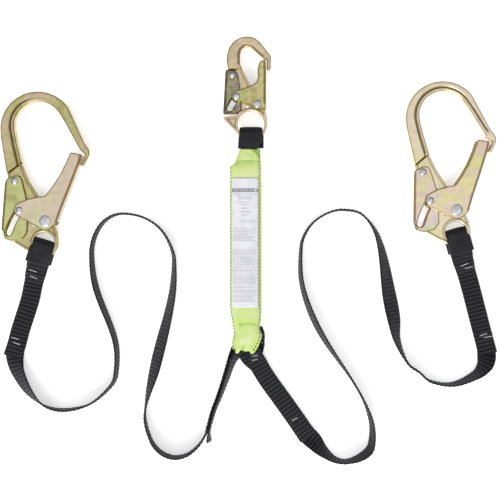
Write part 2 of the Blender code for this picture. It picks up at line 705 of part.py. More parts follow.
def cover_point(row, turn, out):
    """A point of the cover's section, moved out from its surface."""
    y, middle, half, low, high = row
    across, up = math.cos(turn), math.sin(turn)
    power = 2 / COVER_POWER
    x = math.copysign(abs(across) ** power, across) * (half + out)
    z = math.copysign(abs(up) ** power, up) * ((high - low) / 2 + out)
    return Vector((x + middle - CENTRE[0], y - CENTRE[1], z + (low + high) / 2)) * MM


def section_turns():
    return [math.tau * (i + 0.5) / COVER_SIDES for i in range(COVER_SIDES)]


def loft(name, rings, closed):
    shape = bmesh.new()
    rows = [[shape.verts.new(point) for point in ring] for ring in rings]
    for first, second in zip(rows, rows[1:]):
        for i in range(len(first) if closed else len(first) - 1):
            j = (i + 1) % len(first)
            shape.faces.new((first[i], first[j], second[j], second[i]))
    bmesh.ops.recalc_face_normals(shape, faces=shape.faces)
    mesh = bpy.data.meshes.new(name)
    shape.to_mesh(mesh)
    shape.free()
    return new_object(name, mesh)


def make_cover():
    """The fabric tube, open at both ends, with the mouth cut back beside the legs."""
    rings = [[cover_point(row, turn, -COVER_WALL / 2) for turn in section_turns()] for row in COVER]
    cover = loft("absorber_cover", rings, closed=True)
    thicken(cover, COVER_WALL)
    corners = {
        "right": [(30.0, -184.0), (15.4, -184.0), (7.0, -206.0), (30.0, -206.0)],
        "left": [(-40.0, -192.0), (-21.6, -192.0), (-12.0, -206.0), (-40.0, -206.0)],
    }
    for side, corner in corners.items():
        outline = [(x - CENTRE[0], y - CENTRE[1]) for x, y in corner]
        cutter = flat_solid("mouth_" + side, [outline], *CUT_THROUGH, collection=CUTTERS)
        combine(cover, cutter, "DIFFERENCE")
    finish(cover, LIME, 0.8, 0.0)


def make_label():
    """The label on the upper face, following the cover's section."""
    first, last = (math.radians(side) for side in LABEL_SIDES)
    turns = [turn for turn in section_turns() if first < turn < last]
    row = COVER[4]
    out = CLEAR + LABEL_THICK / 2
    rings = []
    for y in LABEL_ENDS:
        rings.append([cover_point((y, *row[1:]), turn, out) for turn in turns])
    label = loft("absorber_label", rings, closed=False)
    thicken(label, LABEL_THICK)
    finish(label, WHITE, 0.5, 0.0)


def flat_sections(points, width):
    """Sections of a strip that runs in the Y-Z plane, from its (y, z) points."""
    across = Vector((1, 0, 0))
    middle = COVER[4][1] - CENTRE[0]
    return [(Vector((middle, y - CENTRE[1], z)), across, width) for y, z in points]


def serpentine(low, pitch, layers, near, far, steps=4):
    """A strip folded back and forth: its (y, z) points from the bottom layer up."""
    points = []
    ends = (near, far)
    for layer in range(layers):
        z = low + layer * pitch
        start, end = ends if layer % 2 == 0 else ends[::-1]
        points += [(start, z), (end, z)]
        if layer == layers - 1:
            break
        side = 1 if end > start else -1
        for i in range(1, steps):
            turn = math.pi * i / steps
            out = side * pitch / 2 * math.sin(turn)
            points.append((end + out, z + pitch / 2 * (1 - math.cos(turn))))
    return points


def make_core():
    """The folded tear webbing, and under it the folded backup strap."""
    folds = serpentine(low=8.4, pitch=3.0, layers=4, near=29.0, far=-148.0)
    tear = ribbon("tear_webbing", flat_sections(folds, width=33.0), thickness=2.2)
    finish(tear, CORE, 0.8, 0.0)
    folds = serpentine(low=2.6, pitch=2.3, layers=2, near=27.0, far=-146.0)
    backup = ribbon("backup_strap", flat_sections(folds, WEBBING), thickness=1.5)
    finish(backup, BLACK, 0.8, 0.0)


def make_top_strap():
    """The loop in the snap hook's eye. Its two ends are sewn together under the cover."""
    eye_x, eye_y = SNAP_HOOK["eye"]
    fold_y = eye_y - 12.6
    rows = [
        (eye_x, fold_y, EYE_FOLD, 26.0), (eye_x - 0.2, fold_y - 5.0, EYE_FOLD, 30.0),
        (eye_x - 0.8, fold_y - 16.0, EYE_FOLD, 30.0), (-0.8, 63.5, 5.2, 22.0),
        (-1.6, 52.0, 4.0, 22.0), (-4.0, 42.0, 2.4, 24.0), (-5.4, 35.0, PLY_HALF, 25.0),
    ]
    across = Vector((1, 0, 0))
    upper, lower = [], []
    for x, y, apart, width in rows:
        place = Vector((x - CENTRE[0], y - CENTRE[1], HOOK_MID))
        upper.append((place + Vector((0, 0, apart)), across, width))
        lower.append((place - Vector((0, 0, apart)), across, width))
    fold_at = Vector((eye_x - CENTRE[0], fold_y - CENTRE[1], HOOK_MID))
    turn_out = []
    for i in range(1, FOLD_STEPS):
        turn = math.pi * i / FOLD_STEPS
        turn_out.append(Vector((0, math.sin(turn), math.cos(turn))))
    middle = [(fold_at + out * EYE_FOLD, across, 26.0) for out in turn_out]
    strap = ribbon("absorber_top_strap", upper[::-1] + middle + lower, WEB_THICK)
    finish(strap, BLACK, 0.8, 0.0)

    up = Vector((0, 0, 1))
    around = [(place, across, up, width) for place, across, width in upper[2::-1]]
    around += [(fold_at + out * EYE_FOLD, across, out, 26.0) for out in turn_out]
    around += [(place, across, -up, width) for place, across, width in lower[:3]]
    finish(sleeve("snap_loop_sleeve", around), SLEEVE_BLACK, 0.6, 0.0)


def make_bottom_strap():
    """A bunched strap through the folds of both legs, its ends sewn to the core."""
    path = [
        (-9.6, -153.4), (-12.6, -160.0), (-16.4, -167.0), (-17.8, -175.0), (-17.8, -181.0),
        (-17.2, -184.6), (-15.0, -186.5), (7.6, -186.5), (10.4, -185.2), (11.2, -182.0),
        (10.4, -175.0), (9.0, -167.0), (3.0, -160.0), (-1.4, -153.4),
    ]
    up = Vector((0, 0, 1))
    sections = [(Vector((x - CENTRE[0], y - CENTRE[1], NECK_MID)), up, 9.8) for x, y in path]
    strap = ribbon("absorber_bottom_strap", sections, WEB_THICK)
    finish(strap, BLACK, 0.8, 0.0)


# ---------------------------------------------------------------- the lanyard
make_hook("snap_hook", SNAP, **SNAP_HOOK)
make_hook("left_hook", REBAR, **LEFT_HOOK)
make_hook("right_hook", REBAR, **RIGHT_HOOK)
make_cover()
make_label()
make_core()
make_top_strap()
make_bottom_strap()
make_leg("left_leg_webbing", "left_hook_sleeve", LEFT_HOOK_END, LEFT_RUN, LEFT_PACK_END)
make_leg("right_leg_webbing", "right_hook_sleeve", RIGHT_HOOK_END, RIGHT_RUN, RIGHT_PACK_END)
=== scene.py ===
"""The finished looks of the shock absorbing lanyard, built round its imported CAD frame."""

import json
import math
import random

import bmesh
import bpy
import numpy as np
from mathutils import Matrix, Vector, kdtree, noise


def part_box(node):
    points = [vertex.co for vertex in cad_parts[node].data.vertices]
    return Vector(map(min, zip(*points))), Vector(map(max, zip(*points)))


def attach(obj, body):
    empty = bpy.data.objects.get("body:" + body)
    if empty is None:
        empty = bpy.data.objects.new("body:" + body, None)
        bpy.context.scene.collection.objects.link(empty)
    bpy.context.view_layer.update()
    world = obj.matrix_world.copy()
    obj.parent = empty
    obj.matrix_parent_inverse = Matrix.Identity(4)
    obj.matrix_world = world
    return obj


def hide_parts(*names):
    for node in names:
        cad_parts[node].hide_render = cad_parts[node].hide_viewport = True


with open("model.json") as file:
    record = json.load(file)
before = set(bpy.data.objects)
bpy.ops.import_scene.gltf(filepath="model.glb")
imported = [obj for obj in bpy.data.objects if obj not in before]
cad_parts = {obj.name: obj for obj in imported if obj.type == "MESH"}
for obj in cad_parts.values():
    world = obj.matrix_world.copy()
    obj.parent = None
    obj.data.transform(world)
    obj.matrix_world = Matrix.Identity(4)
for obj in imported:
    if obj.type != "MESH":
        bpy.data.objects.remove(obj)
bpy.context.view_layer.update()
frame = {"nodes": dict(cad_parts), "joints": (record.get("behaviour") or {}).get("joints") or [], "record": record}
JOINTS = {joint["name"]: joint for joint in frame["joints"]}
MM = 0.001
random.seed(7)
ACROSS_VIEW, UP_VIEW, UP = Vector((1.0, 0.0, 0.0)), Vector((0.0, 1.0, 0.0)), Vector((0.0, 0.0, 1.0))

# ---------------------------------------------------------------- camera
VIEW_CENTRE = (0.0022, -0.078)
VIEW_HEIGHT = 1.26
VIEW_WIDTH = 0.675  # seen at the hooks' middle height
VIEWED_HEIGHT = 0.01
SENSOR = 36.0


def make_camera():
    data = bpy.data.cameras.new("camera")
    camera = bpy.data.objects.new("camera", data)
    bpy.context.scene.collection.objects.link(camera)
    camera.location = (*VIEW_CENTRE, VIEW_HEIGHT)
    data.sensor_width = SENSOR
    data.lens = SENSOR * (VIEW_HEIGHT - VIEWED_HEIGHT) / VIEW_WIDTH
    data.clip_start, data.clip_end = 0.05, 20
    bpy.context.scene.camera = camera


make_camera()

# ---------------------------------------------------------------- shared sizes, mm
CENTRE = (-1.92, 5.34)  # of the routes' own plan, which the frame is centred on
FLOOR_GAP = 0.1
HOOK_MID = 10.5  # the hooks' middle height
PLATE_HALF = 3.5  # half the thickness of a hook's plate
WEBBING = 25.0
WEB_THICK = 3.0
VISIBLE_THICK = 2.7  # between the ribs' middles, so that doubled plies stay apart
PLY_HALF = 1.65
EYE_FOLD = 6.65  # radius of the fold in a hook's eye
NECK_FOLD = 7.3  # and of the fold at the absorber's bottom strap
NECK_MID = 11.0
EYE_LIFT = HOOK_MID - EYE_FOLD - WEB_THICK / 2 - FLOOR_GAP
NECK_LIFT = NECK_MID - NECK_FOLD - WEB_THICK / 2 - FLOOR_GAP
SLEEVE_REACH = 25.0
RIB_PITCH = 5.4
RIB_DEPTH = 0.25
LENGTH_STEP = 0.9


# ---------------------------------------------------------------- materials
WHITE = (1.0, 1.0, 1.0)


def nodes_of(name, roughness, metallic=0.0, **others):
    """A material with a Principled shader, and its tree."""
    made = bpy.data.materials.new(name)
    made.use_nodes = True
    tree = made.node_tree
    shader = tree.nodes["Principled BSDF"]
    names = {"specular": "Specular IOR Level", "sheen": "Sheen Weight", "sheen_rough": "Sheen Roughness"}
    shader.inputs["Roughness"].default_value = roughness
    shader.inputs["Metallic"].default_value = metallic
    for key, value in others.items():
        shader.inputs[names[key]].default_value = value
    return made, tree, shader


def node(tree, kind, inputs=None, **settings):
    """A shader node, with its settings and its inputs, which are sockets or values."""
    made = tree.nodes.new("ShaderNode" + kind)
    for key, value in settings.items():
        setattr(made, key, value)
    for key, value in (inputs or {}).items():
        if isinstance(value, bpy.types.NodeSocket):
            tree.links.new(value, made.inputs[key])
        else:
            made.inputs[key].default_value = value
    return made


def ramp(tree, factor, *stops):
    """A colour ramp through (position, colour) stops."""
    made = node(tree, "ValToRGB", {"Fac": factor})
    elements = made.color_ramp.elements
    while len(elements) < len(stops):
        elements.new(0.5)
    for element, (place, colour) in zip(elements, stops):
        element.position = place
        element.color = (*colour, 1)
    return made.outputs["Color"]


def place_of(tree):
    return node(tree, "TexCoord").outputs["Object"]


def attribute_of(tree, name):
    return node(tree, "Attribute", attribute_name=name).outputs["Fac"]


def noise_of(tree, place, scale, detail=4.0, rough=0.55):
    inputs = {"Vector": place, "Scale": scale, "Detail": detail, "Roughness": rough}
    return node(tree, "TexNoise", inputs).outputs["Fac"]


def wave_of(tree, place, scale, distortion, way):
    """Parallel ridges, as yarns."""
    inputs = {"Vector": place, "Scale": scale, "Distortion": distortion}
    return node(tree, "TexWave", inputs, wave_type="BANDS", bands_direction=way).outputs["Fac"]


def bump(tree, shader, height, distance, strength, before=None):
    """Relief on a shader, on top of the relief before it."""
    inputs = {"Height": height, "Distance": distance, "Strength": strength}
    if before:
        inputs["Normal"] = before
    made = node(tree, "Bump", inputs).outputs["Normal"]
    tree.links.new(made, shader.inputs["Normal"])
    return made


def weave(tree, shader, scale, distortion, depth, strength, before=None):
    """The relief of a plain weave: ridges both ways."""
    place = place_of(tree)
    for way in ("X", "Y"):
        before = bump(tree, shader, wave_of(tree, place, scale, distortion, way), depth, strength, before)


def mixed(tree, factor, first, second, blend="MIX"):
    """A mix of two colours, each a socket or plain RGB."""
    first, second = ((*c, 1) if isinstance(c, tuple) else c for c in (first, second))
    inputs = {0: factor, 6: first, 7: second}
    return node(tree, "Mix", inputs, data_type="RGBA", blend_type=blend).outputs[2]


def coloured(tree, shader, *layers):
    """Multiplies the layers of colour together, and gives the shader the result."""
    colour = layers[0]
    for layer in layers[1:]:
        colour = mixed(tree, 1.0, colour, layer, "MULTIPLY")
    tree.links.new(colour, shader.inputs["Base Color"])


def roughened(tree, shader, factor, low, high):
    rough = node(tree, "MapRange", {"Value": factor, "To Min": low, "To Max": high})
    tree.links.new(rough.outputs["Result"], shader.inputs["Roughness"])


def plated(name, tones, roughness, scale, mottle=0.15, shift=0.0):
    """Yellow zinc plating: tones that drift into each other, fine grain, and painted shade in grooves and at
    edges.
    """
    made, tree, shader = nodes_of(name, roughness, 1.0)
    moved = {"Vector": place_of(tree), "Location": (shift, shift * 0.7, 0.0)}
    place = node(tree, "Mapping", moved).outputs["Vector"]
    warp = node(tree, "TexNoise", {"Vector": place, "Scale": scale * 0.6, "Detail": 2.0}).outputs["Color"]
    bent = node(tree, "Mix", {0: 0.06, 4: place, 5: warp}, data_type="VECTOR").outputs[1]
    stops = [0.34 + 0.32 * i / (len(tones) - 1) for i in range(len(tones))]
    tint = ramp(tree, noise_of(tree, bent, scale, 3.0), *zip(stops, tones))
    cloud = noise_of(tree, place, 120, 6.0, 0.7)
    shade = ramp(tree, cloud, (0.32, (1 - mottle,) * 3), (0.6, WHITE))
    # Painted shade: the plating darkens to brown in grooves, at edges and at steps, where shade falls.
    painted_shade = ramp(tree, attribute_of(tree, "groove_and_shade"), (0.1, WHITE), (0.9, (0.30, 0.23, 0.13)))
    coloured(tree, shader, tint, shade, painted_shade)
    roughened(tree, shader, cloud, roughness - 0.06, roughness + 0.12)
    dents = bump(tree, shader, noise_of(tree, place, 60, 3.0), 0.0004, 0.5)
    bump(tree, shader, noise_of(tree, place, 900, 5.0, 0.7), 0.00005, 0.5, dents)
    return made


def bright_zinc():
    made, tree, shader = nodes_of("bright_zinc", 0.2, 1.0)
    place = place_of(tree)
    cloud = noise_of(tree, place, 160, 5.0, 0.6)
    coloured(tree, shader, ramp(tree, cloud, (0.3, (0.50, 0.51, 0.57)), (0.7, (0.80, 0.81, 0.85))))
    roughened(tree, shader, cloud, 0.10, 0.24)
    bump(tree, shader, noise_of(tree, place, 700), 0.00006, 0.4)
    return made


def webbing_black():
    """Woven polyester: a painted highlight on the ribs, painted shade in the gaps, and fine yarns that cross at a
    slant.
    """
    made, tree, shader = nodes_of("webbing_black", 0.62, specular=0.25, sheen=0.05, sheen_rough=0.5)
    flat = node(tree, "TexCoord").outputs["UV"]
    warp = wave_of(tree, flat, 0.55, 1.2, "Y")
    pick = wave_of(tree, flat, 0.38, 1.5, "DIAGONAL")
    # Painted light: lighter on the ribs' tops, darker in the gaps between them.
    base = ramp(tree, attribute_of(tree, "rib"),
                (0.05, (0.0015, 0.0015, 0.002)), (0.5, (0.005, 0.005, 0.007)),
                (0.95, (0.026, 0.026, 0.031)))
    yarn = ramp(tree, warp, (0.2, (0.72, 0.72, 0.74)), (0.8, (1.15, 1.15, 1.18)))
    worn = ramp(tree, noise_of(tree, place_of(tree), 60),
                (0.35, (0.85, 0.85, 0.87)), (0.75, (1.2, 1.2, 1.22)))
    coloured(tree, shader, base, yarn, worn)
    normal = bump(tree, shader, warp, 0.00025, 0.7)
    bump(tree, shader, pick, 0.0002, 0.5, normal)
    return made


def sleeve_black():
    """A close, smooth woven tube, a little shiny where it bends."""
    made, tree, shader = nodes_of("sleeve_black", 0.55, specular=0.35, sheen=0.08, sheen_rough=0.4)
    cloud = noise_of(tree, place_of(tree), 70)
    coloured(tree, shader, ramp(tree, cloud, (0.3, (0.003, 0.003, 0.005)), (0.75, (0.011, 0.010, 0.014))))
    weave(tree, shader, 300.0, 0.6, 0.00012, 0.5)
    return made


def lime_fabric():
    """High-visibility coated fabric: a fine plain weave, a painted reflection that pales it, and painted shade in
    its creases.
    """
    made, tree, shader = nodes_of("lime_fabric", 0.62, sheen=0.3, sheen_rough=0.6)
    place = place_of(tree)
    cloud = noise_of(tree, place, 34, 3.0, 0.5)
    lime = ramp(tree, cloud,
                (0.30, (0.42, 0.56, 0.11)), (0.50, (0.48, 0.59, 0.17)), (0.72, (0.54, 0.62, 0.24)))
    # Painted reflection: pales the lime towards grey-green in bands.
    lime = mixed(tree, attribute_of(tree, "pale"), lime, (0.60, 0.65, 0.40))
    # Painted shade: darkens the lime in the creases and inside the tube.
    coloured(tree, shader, mixed(tree, attribute_of(tree, "fold"), lime, (0.20, 0.44, 0.025)))
    crumple = bump(tree, shader, noise_of(tree, place, 110, 5.0, 0.6), 0.0006, 0.45)
    weave(tree, shader, 420.0, 0.5, 0.0001, 0.4, crumple)
    return made


def plain(name, dark, light, scale, roughness, depth, sheen=0.0):
    """A two-tone mottled surface with fine relief."""
    made, tree, shader = nodes_of(name, roughness, sheen=sheen)
    place = place_of(tree)
    coloured(tree, shader, ramp(tree, noise_of(tree, place, scale), (0.3, dark), (0.7, light)))
    bump(tree, shader, noise_of(tree, place, scale * 6), depth, 0.5)
    return made


OLIVE, STRAW, PINK = (0.56, 0.53, 0.21), (0.81, 0.71, 0.37), (0.87, 0.65, 0.50)
PALE, LEAF, STEEL = (0.85, 0.73, 0.52), (0.67, 0.71, 0.32), (0.29, 0.30, 0.26)
# Each plated piece: its tones, then roughness, scale, mottle and shift of the pattern.
PLATING = {
    "left_hook": ([OLIVE, (0.67, 0.63, 0.32), (0.62, 0.56, 0.26), (0.69, 0.61, 0.33), (0.76, 0.61, 0.40)],
                  0.28, 22, 0.25),
    "right_hook": (
        [(0.94, 0.84, 0.52), (0.97, 0.86, 0.62), (0.97, 0.81, 0.64), (0.97, 0.88, 0.67)], 0.28, 20),
    "snap_hook": ([(0.74, 0.58, 0.37), (0.81, 0.65, 0.41), (0.90, 0.74, 0.52), (0.81, 0.67, 0.42), PINK],
                  0.30, 26, 0.2),
    "left_gate": ([(0.76, 0.77, 0.50), PALE, (0.85, 0.70, 0.57), PALE], 0.33, 20),
    "left_lever": ([OLIVE, LEAF, LEAF, STRAW, PINK], 0.30, 24, 0.15, 0.3),
    "right_gate": ([(0.94, 0.77, 0.74), (0.97, 0.86, 0.60), (0.97, 0.90, 0.45), (0.97, 0.84, 0.62),
                    (0.97, 0.77, 0.62)], 0.32, 24, 0.15, 0.7),
    "right_lever": ([(0.76, 0.86, 0.45), (0.96, 0.88, 0.52), (0.97, 0.79, 0.64), (0.92, 0.77, 0.77),
                     (0.74, 0.88, 0.50)], 0.30, 34, 0.15, 0.2),
    "snap_gate": ([(0.63, 0.63, 0.25), (0.74, 0.60, 0.35), (0.87, 0.77, 0.37), (0.65, 0.65, 0.27), LEAF],
                  0.30, 40, 0.3),
    "snap_lever": ([STEEL, (0.40, 0.39, 0.22), (0.56, 0.51, 0.35), STEEL, (0.52, 0.43, 0.27)],
                   0.26, 50, 0.5, 0.5),
}
PLATED = {name: plated("plated_" + name, *look) for name, look in PLATING.items()}
ZINC = bright_zinc()
WEB = webbing_black()
SLEEVE = sleeve_black()
LIME = lime_fabric()
LABEL = plain("label_film", (0.58, 0.58, 0.62), (0.68, 0.68, 0.71), 90, 0.42, 0.00015)
PRINT = plain("print_grey", (0.36, 0.36, 0.39), (0.46, 0.46, 0.49), 300, 0.6, 0.00002)
PRINT_DARK = plain("print_dark", (0.035, 0.035, 0.045), (0.08, 0.08, 0.09), 300, 0.6, 0.00002)
THREAD_WHITE = plain("thread_white", (0.70, 0.70, 0.71), (0.86, 0.86, 0.86), 900, 0.6, 0.00005, sheen=0.3)
THREAD_BLACK = plain("thread_black", (0.012, 0.012, 0.014), (0.03, 0.03, 0.033), 900, 0.6, 0.00005)
THREAD_GREEN = plain("thread_green", (0.03, 0.09, 0.008), (0.06, 0.15, 0.015), 900, 0.6, 0.00005, sheen=0.2)
STRAP = plain("strap_black", (0.006, 0.006, 0.008), (0.03, 0.03, 0.036), 260, 0.65, 0.0003)
CORE = plain("tear_webbing_grey", (0.26, 0.24, 0.22), (0.42, 0.40, 0.37), 200, 0.8, 0.0003, sheen=0.2)


# ---------------------------------------------------------------- mesh helpers
def new_object(name, mesh, material, body, replaced=()):
    """Links a piece, gives it its material, and lets it ride on a CAD body."""
    obj = bpy.data.objects.new(name, mesh)
    bpy.context.scene.collection.objects.link(obj)
    mesh.materials.clear()
    mesh.materials.append(material)
    mesh.shade_smooth()
    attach(obj, body)
    if replaced:
        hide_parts(*replaced)
    return obj


def mesh_from(name, verts, faces, uvs=None, **attributes):
    """A mesh in metres from points in millimetres, with any UVs and point attributes."""
    mesh = bpy.data.meshes.new(name)
    mesh.from_pydata([tuple(c * MM for c in v) for v in verts], [], faces)
    mesh.update()
    for attribute, values in attributes.items():
        mesh.attributes.new(attribute, "FLOAT", "POINT").data.foreach_set("value", values)
    if uvs:
        layer = mesh.uv_layers.new(name="UVMap")
        for loop in mesh.loops:
            layer.data[loop.index].uv = uvs[loop.vertex_index]
    return mesh


def skin(rings, joined=False):
    """Faces over rings of equal length, capped at both ends, or joined from the last to the first."""
    size, count = len(rings[0]), len(rings)
    faces = []
    for k in range(count if joined else count - 1):
        a, b = k * size, (k + 1) % count * size
        faces += [(a + i, a + (i + 1) % size, b + (i + 1) % size, b + i) for i in range(size)]
    if not joined:
        last = (count - 1) * size
        faces += [tuple(range(size))[::-1], tuple(last + i for i in range(size))]
    return faces


def mesh_of_rings(name, rings, joined=False, **looks):
    return mesh_from(name, [v for ring in rings for v in ring], skin(rings, joined), **looks)


def curve_through(points, step=0.9):
    """Places along a smooth curve through points of any number of values."""
    made = []
    for k in range(len(points) - 1):
        before, a, b, after = (points[min(max(k + i, 0), len(points) - 1)] for i in (-1, 0, 1, 2))
        count = max(round(math.dist(a[:2], b[:2]) / step), 1)
        for i in range(count):
            t = i / count
            spot = []
            for p, q, r, u in zip(before, a, b, after):
                square, cube = 2 * p - 5 * q + 4 * r - u, 3 * q - p - 3 * r + u
                spot.append(0.5 * (2 * q + (r - p) * t + square * t**2 + cube * t**3))
            made.append(spot)
    return made + [list(points[-1])]


def smooth(low, high, value):
    """0 below low, 1 above high, and an eased step between them."""
    t = min(max((value - low) / (high - low), 0.0), 1.0)
    return t * t * (3 - 2 * t)


def heading(places, k):
    """The direction of a row of places at one of them."""
    return (places[min(k + 1, len(places) - 1)] - places[max(k - 1, 0)]).normalized()


def thread(name, runs, radius, material):
    """Stitches as one mesh: a short round-ended run of thread for each list of points, in mm."""
    verts, faces = [], []
    sides = 6
    for points in runs:
        last = len(points) - 1
        rings = []
        for k, p in enumerate(points):
            along = heading(points, k)
            side = along.cross(UP)
            side = side.normalized() if side.length > 0.1 else ACROSS_VIEW
            up = side.cross(along)
            size = radius * (0.45 if k in (0, last) else 1.0)
            turns = [math.tau * i / sides for i in range(sides)]
            rings.append([p + (side * math.cos(turn) + up * math.sin(turn)) * size for turn in turns])
        faces += [tuple(len(verts) + i for i in face) for face in skin(rings)]
        verts += [v for ring in rings for v in ring]
    new_object(name, mesh_from(name, verts, faces), material, "lanyard")


# ---------------------------------------------------------------- the legs' routes
# A route's row: x, y, tilt, half the distance between its two plies, width, extra height.
# A tilt of 0 lies flat and 90 stands on edge. A single ply is a row of x, y and tilt.
LEFT_HOOK_END = [
    (-278.5, -66.7, 0, EYE_FOLD, 23.0, EYE_LIFT), (-285.2, -88.8, 0, EYE_FOLD, 27.5, EYE_LIFT),
    (-288.6, -100.6, 0, 4.6, 26.5, 1.4), (-293.4, -118.0, 0, 1.9, 25.0, 0.1),
    (-298.1, -140.1, 0, PLY_HALF, 25.0, 0.0), (-310.9, -180.6, 0, PLY_HALF, 25.0, 0.0),
    (-315.6, -198.5, 0, PLY_HALF, 25.0, 0.0), (-319.0, -211.7, 0, PLY_HALF, 25.0, 0.0),
]
LEFT_RUN = [
    (-318.0, -223.0, 14), (-313.4, -238.0, 32), (-297.8, -264.0, 53), (-276.0, -282.9, 80),
    (-249.0, -288.2, 90), (-215.5, -280.3, 86), (-188.5, -257.8, 83), (-180.4, -241.3, 84),
    (-181.0, -196.5, 83), (-207.5, -122.5, 81), (-213.0, -78.0, 86), (-208.8, -54.5, 87),
    (-196.8, -35.0, 88), (-179.3, -24.8, 90), (-159.0, -24.7, 90), (-138.8, -31.0, 88),
    (-121.0, -44.0, 84), (-108.2, -64.0, 80), (-102.2, -86.0, 75), (-105.6, -137.8, 63),
    (-126.8, -226.8, 51), (-141.4, -293.0, 87), (-133.0, -329.2, 90), (-119.8, -345.4, 90),
    (-102.3, -352.2, 90), (-84.8, -348.8, 90), (-71.0, -338.2, 90),
]
LEFT_PACK_END = [
    (-58.6, -323.0, 88, PLY_HALF, 25.0, 0.0), (-54.6, -309.0, 86, PLY_HALF, 25.0, 0.0),
    (-48.6, -288.5, 83, PLY_HALF, 25.0, 0.0), (-41.2, -270.0, 80, PLY_HALF, 25.0, 0.0),
    (-33.2, -248.0, 76, PLY_HALF, 25.0, 0.0), (-24.4, -222.5, 67, PLY_HALF, 24.0, 0.5),
    (-17.4, -209.0, 44, 3.0, 19.0, 1.6), (-11.6, -199.5, 14, 5.4, 13.0, 1.8),
    (-9.2, -192.5, 0, 6.9, 11.4, 2.1), (-9.2, -187.0, 0, NECK_FOLD, 11.4, NECK_LIFT),
]
RIGHT_HOOK_END = [
    (278.7, -52.0, 0, EYE_FOLD, 23.0, EYE_LIFT), (285.0, -74.5, 0, EYE_FOLD, 27.5, EYE_LIFT),
    (288.6, -87.5, 0, 4.6, 26.5, 1.4), (294.2, -104.5, 0, 1.9, 25.0, 0.1),
    (300.3, -126.0, 0, PLY_HALF, 25.0, 0.0), (311.0, -167.5, 0, PLY_HALF, 25.0, 0.0),
    (317.9, -194.1, 0, PLY_HALF, 25.0, 0.0), (321.0, -207.6, 0, PLY_HALF, 25.0, 0.0),
]
RIGHT_RUN = [
    (320.6, -219.0, 20), (315.6, -230.5, 52), (305.0, -241.0, 72), (273.5, -253.6, 86),
    (243.2, -249.4, 88), (228.5, -237.4, 88), (213.6, -226.0, 84), (198.8, -194.0, 62),
    (194.7, -165.8, 38), (189.3, -137.4, 34), (173.1, -56.5, 68), (151.0, -24.6, 86),
    (124.5, -18.6, 90), (105.6, -22.7, 90), (88.0, -33.5, 90), (75.8, -48.4, 88),
    (69.2, -67.3, 86), (70.5, -119.9, 79), (93.4, -180.6, 74), (146.1, -261.6, 90),
    (163.6, -303.5, 82), (163.6, -337.2, 76), (153.0, -349.6, 77), (131.2, -357.6, 88),
    (115.0, -354.8, 80), (98.8, -343.4, 56), (87.4, -332.0, 26),
]
RIGHT_PACK_END = [
    (75.9, -321.0, 0, PLY_HALF, 25.0, 0.0), (64.1, -304.2, 0, PLY_HALF, 25.0, 0.0),
    (43.9, -275.8, 0, PLY_HALF, 25.0, 0.0), (23.6, -247.5, 0, PLY_HALF, 25.0, 0.0),
    (11.8, -227.5, 0, 1.9, 25.0, 1.5), (6.6, -213.0, 0, 3.0, 21.0, 3.9),
    (4.6, -200.0, 0, 4.8, 13.5, 4.2), (2.8, -192.5, 0, 6.9, 11.5, 2.3),
    (2.8, -187.0, 0, NECK_FOLD, 11.4, NECK_LIFT),
]


def full_row(row):
    """The row with the values that a single ply leaves out."""
    return (*row, *(0.0, WEBBING, 0.0)[len(row) - 3:])


def station_of(x, y, tilt, apart, width, lift):
    """Place, tilt, half gap and width, with the lower edge on the floor plus any lift."""
    steep = math.radians(tilt)
    height = width / 2 * abs(math.sin(steep)) + (WEB_THICK / 2 + apart) * abs(math.cos(steep))
    place = Vector((x - CENTRE[0], y - CENTRE[1], height + lift + FLOOR_GAP))
    return place, tilt, apart, width


def smooth_route(rows, spacing):
    """Stations along a smooth curve through the rows."""
    rows = [full_row(row) for row in rows]
    spans = [math.dist(a[:2], b[:2]) for a, b in zip(rows, rows[1:])]
    at = [sum(spans[:i]) for i in range(len(rows))]

    def slope(i, k):
        low, high = max(i - 1, 0), min(i + 1, len(rows) - 1)
        return (rows[high][k] - rows[low][k]) / (at[high] - at[low])

    count = round(at[-1] / spacing)
    stations = []
    for step in range(count + 1):
        s = at[-1] * step / count
        i = max(j for j in range(len(spans)) if at[j] <= s + 1e-9)
        t = (s - at[i]) / spans[i]
        values = []
        for k in range(3):
            a, b = rows[i][k], rows[i + 1][k]
            da, db = slope(i, k) * spans[i], slope(i + 1, k) * spans[i]
            bend = (2 * a - 2 * b + da + db) * t**3 + (3 * b - 3 * a - 2 * da - db) * t**2
            values.append(bend + da * t + a)
        ease = t * t * (3 - 2 * t)
        for a, b in zip(rows[i][3:], rows[i + 1][3:]):
            values.append(a + (b - a) * ease)
        stations.append(station_of(*values))
    return stations


def framed(stations):
    """Adds each station's directions along, across and out of the webbing's face."""
    made = []
    places = [station[0] for station in stations]
    for i, (place, tilt, apart, width) in enumerate(stations):
        along = heading(places, i)
        side = Vector((-along.y, along.x, 0)).normalized()
        steep = math.radians(tilt)
        across = side * math.cos(steep) + Vector((0, 0, math.sin(steep)))
        face = along.cross(across).normalized()
        made.append((place, along, across, face, apart, width))
    return made


def nearest(route, row):
    goal = station_of(*full_row(row))[0]
    return min(range(len(route)), key=lambda i: (route[i][0] - goal).length)


# ---------------------------------------------------------------- webbing
ACROSS = [-1.0, -0.93, -0.84, -0.70, -0.5, -0.25, 0.0, 0.25, 0.5, 0.70, 0.84, 0.93, 1.0]


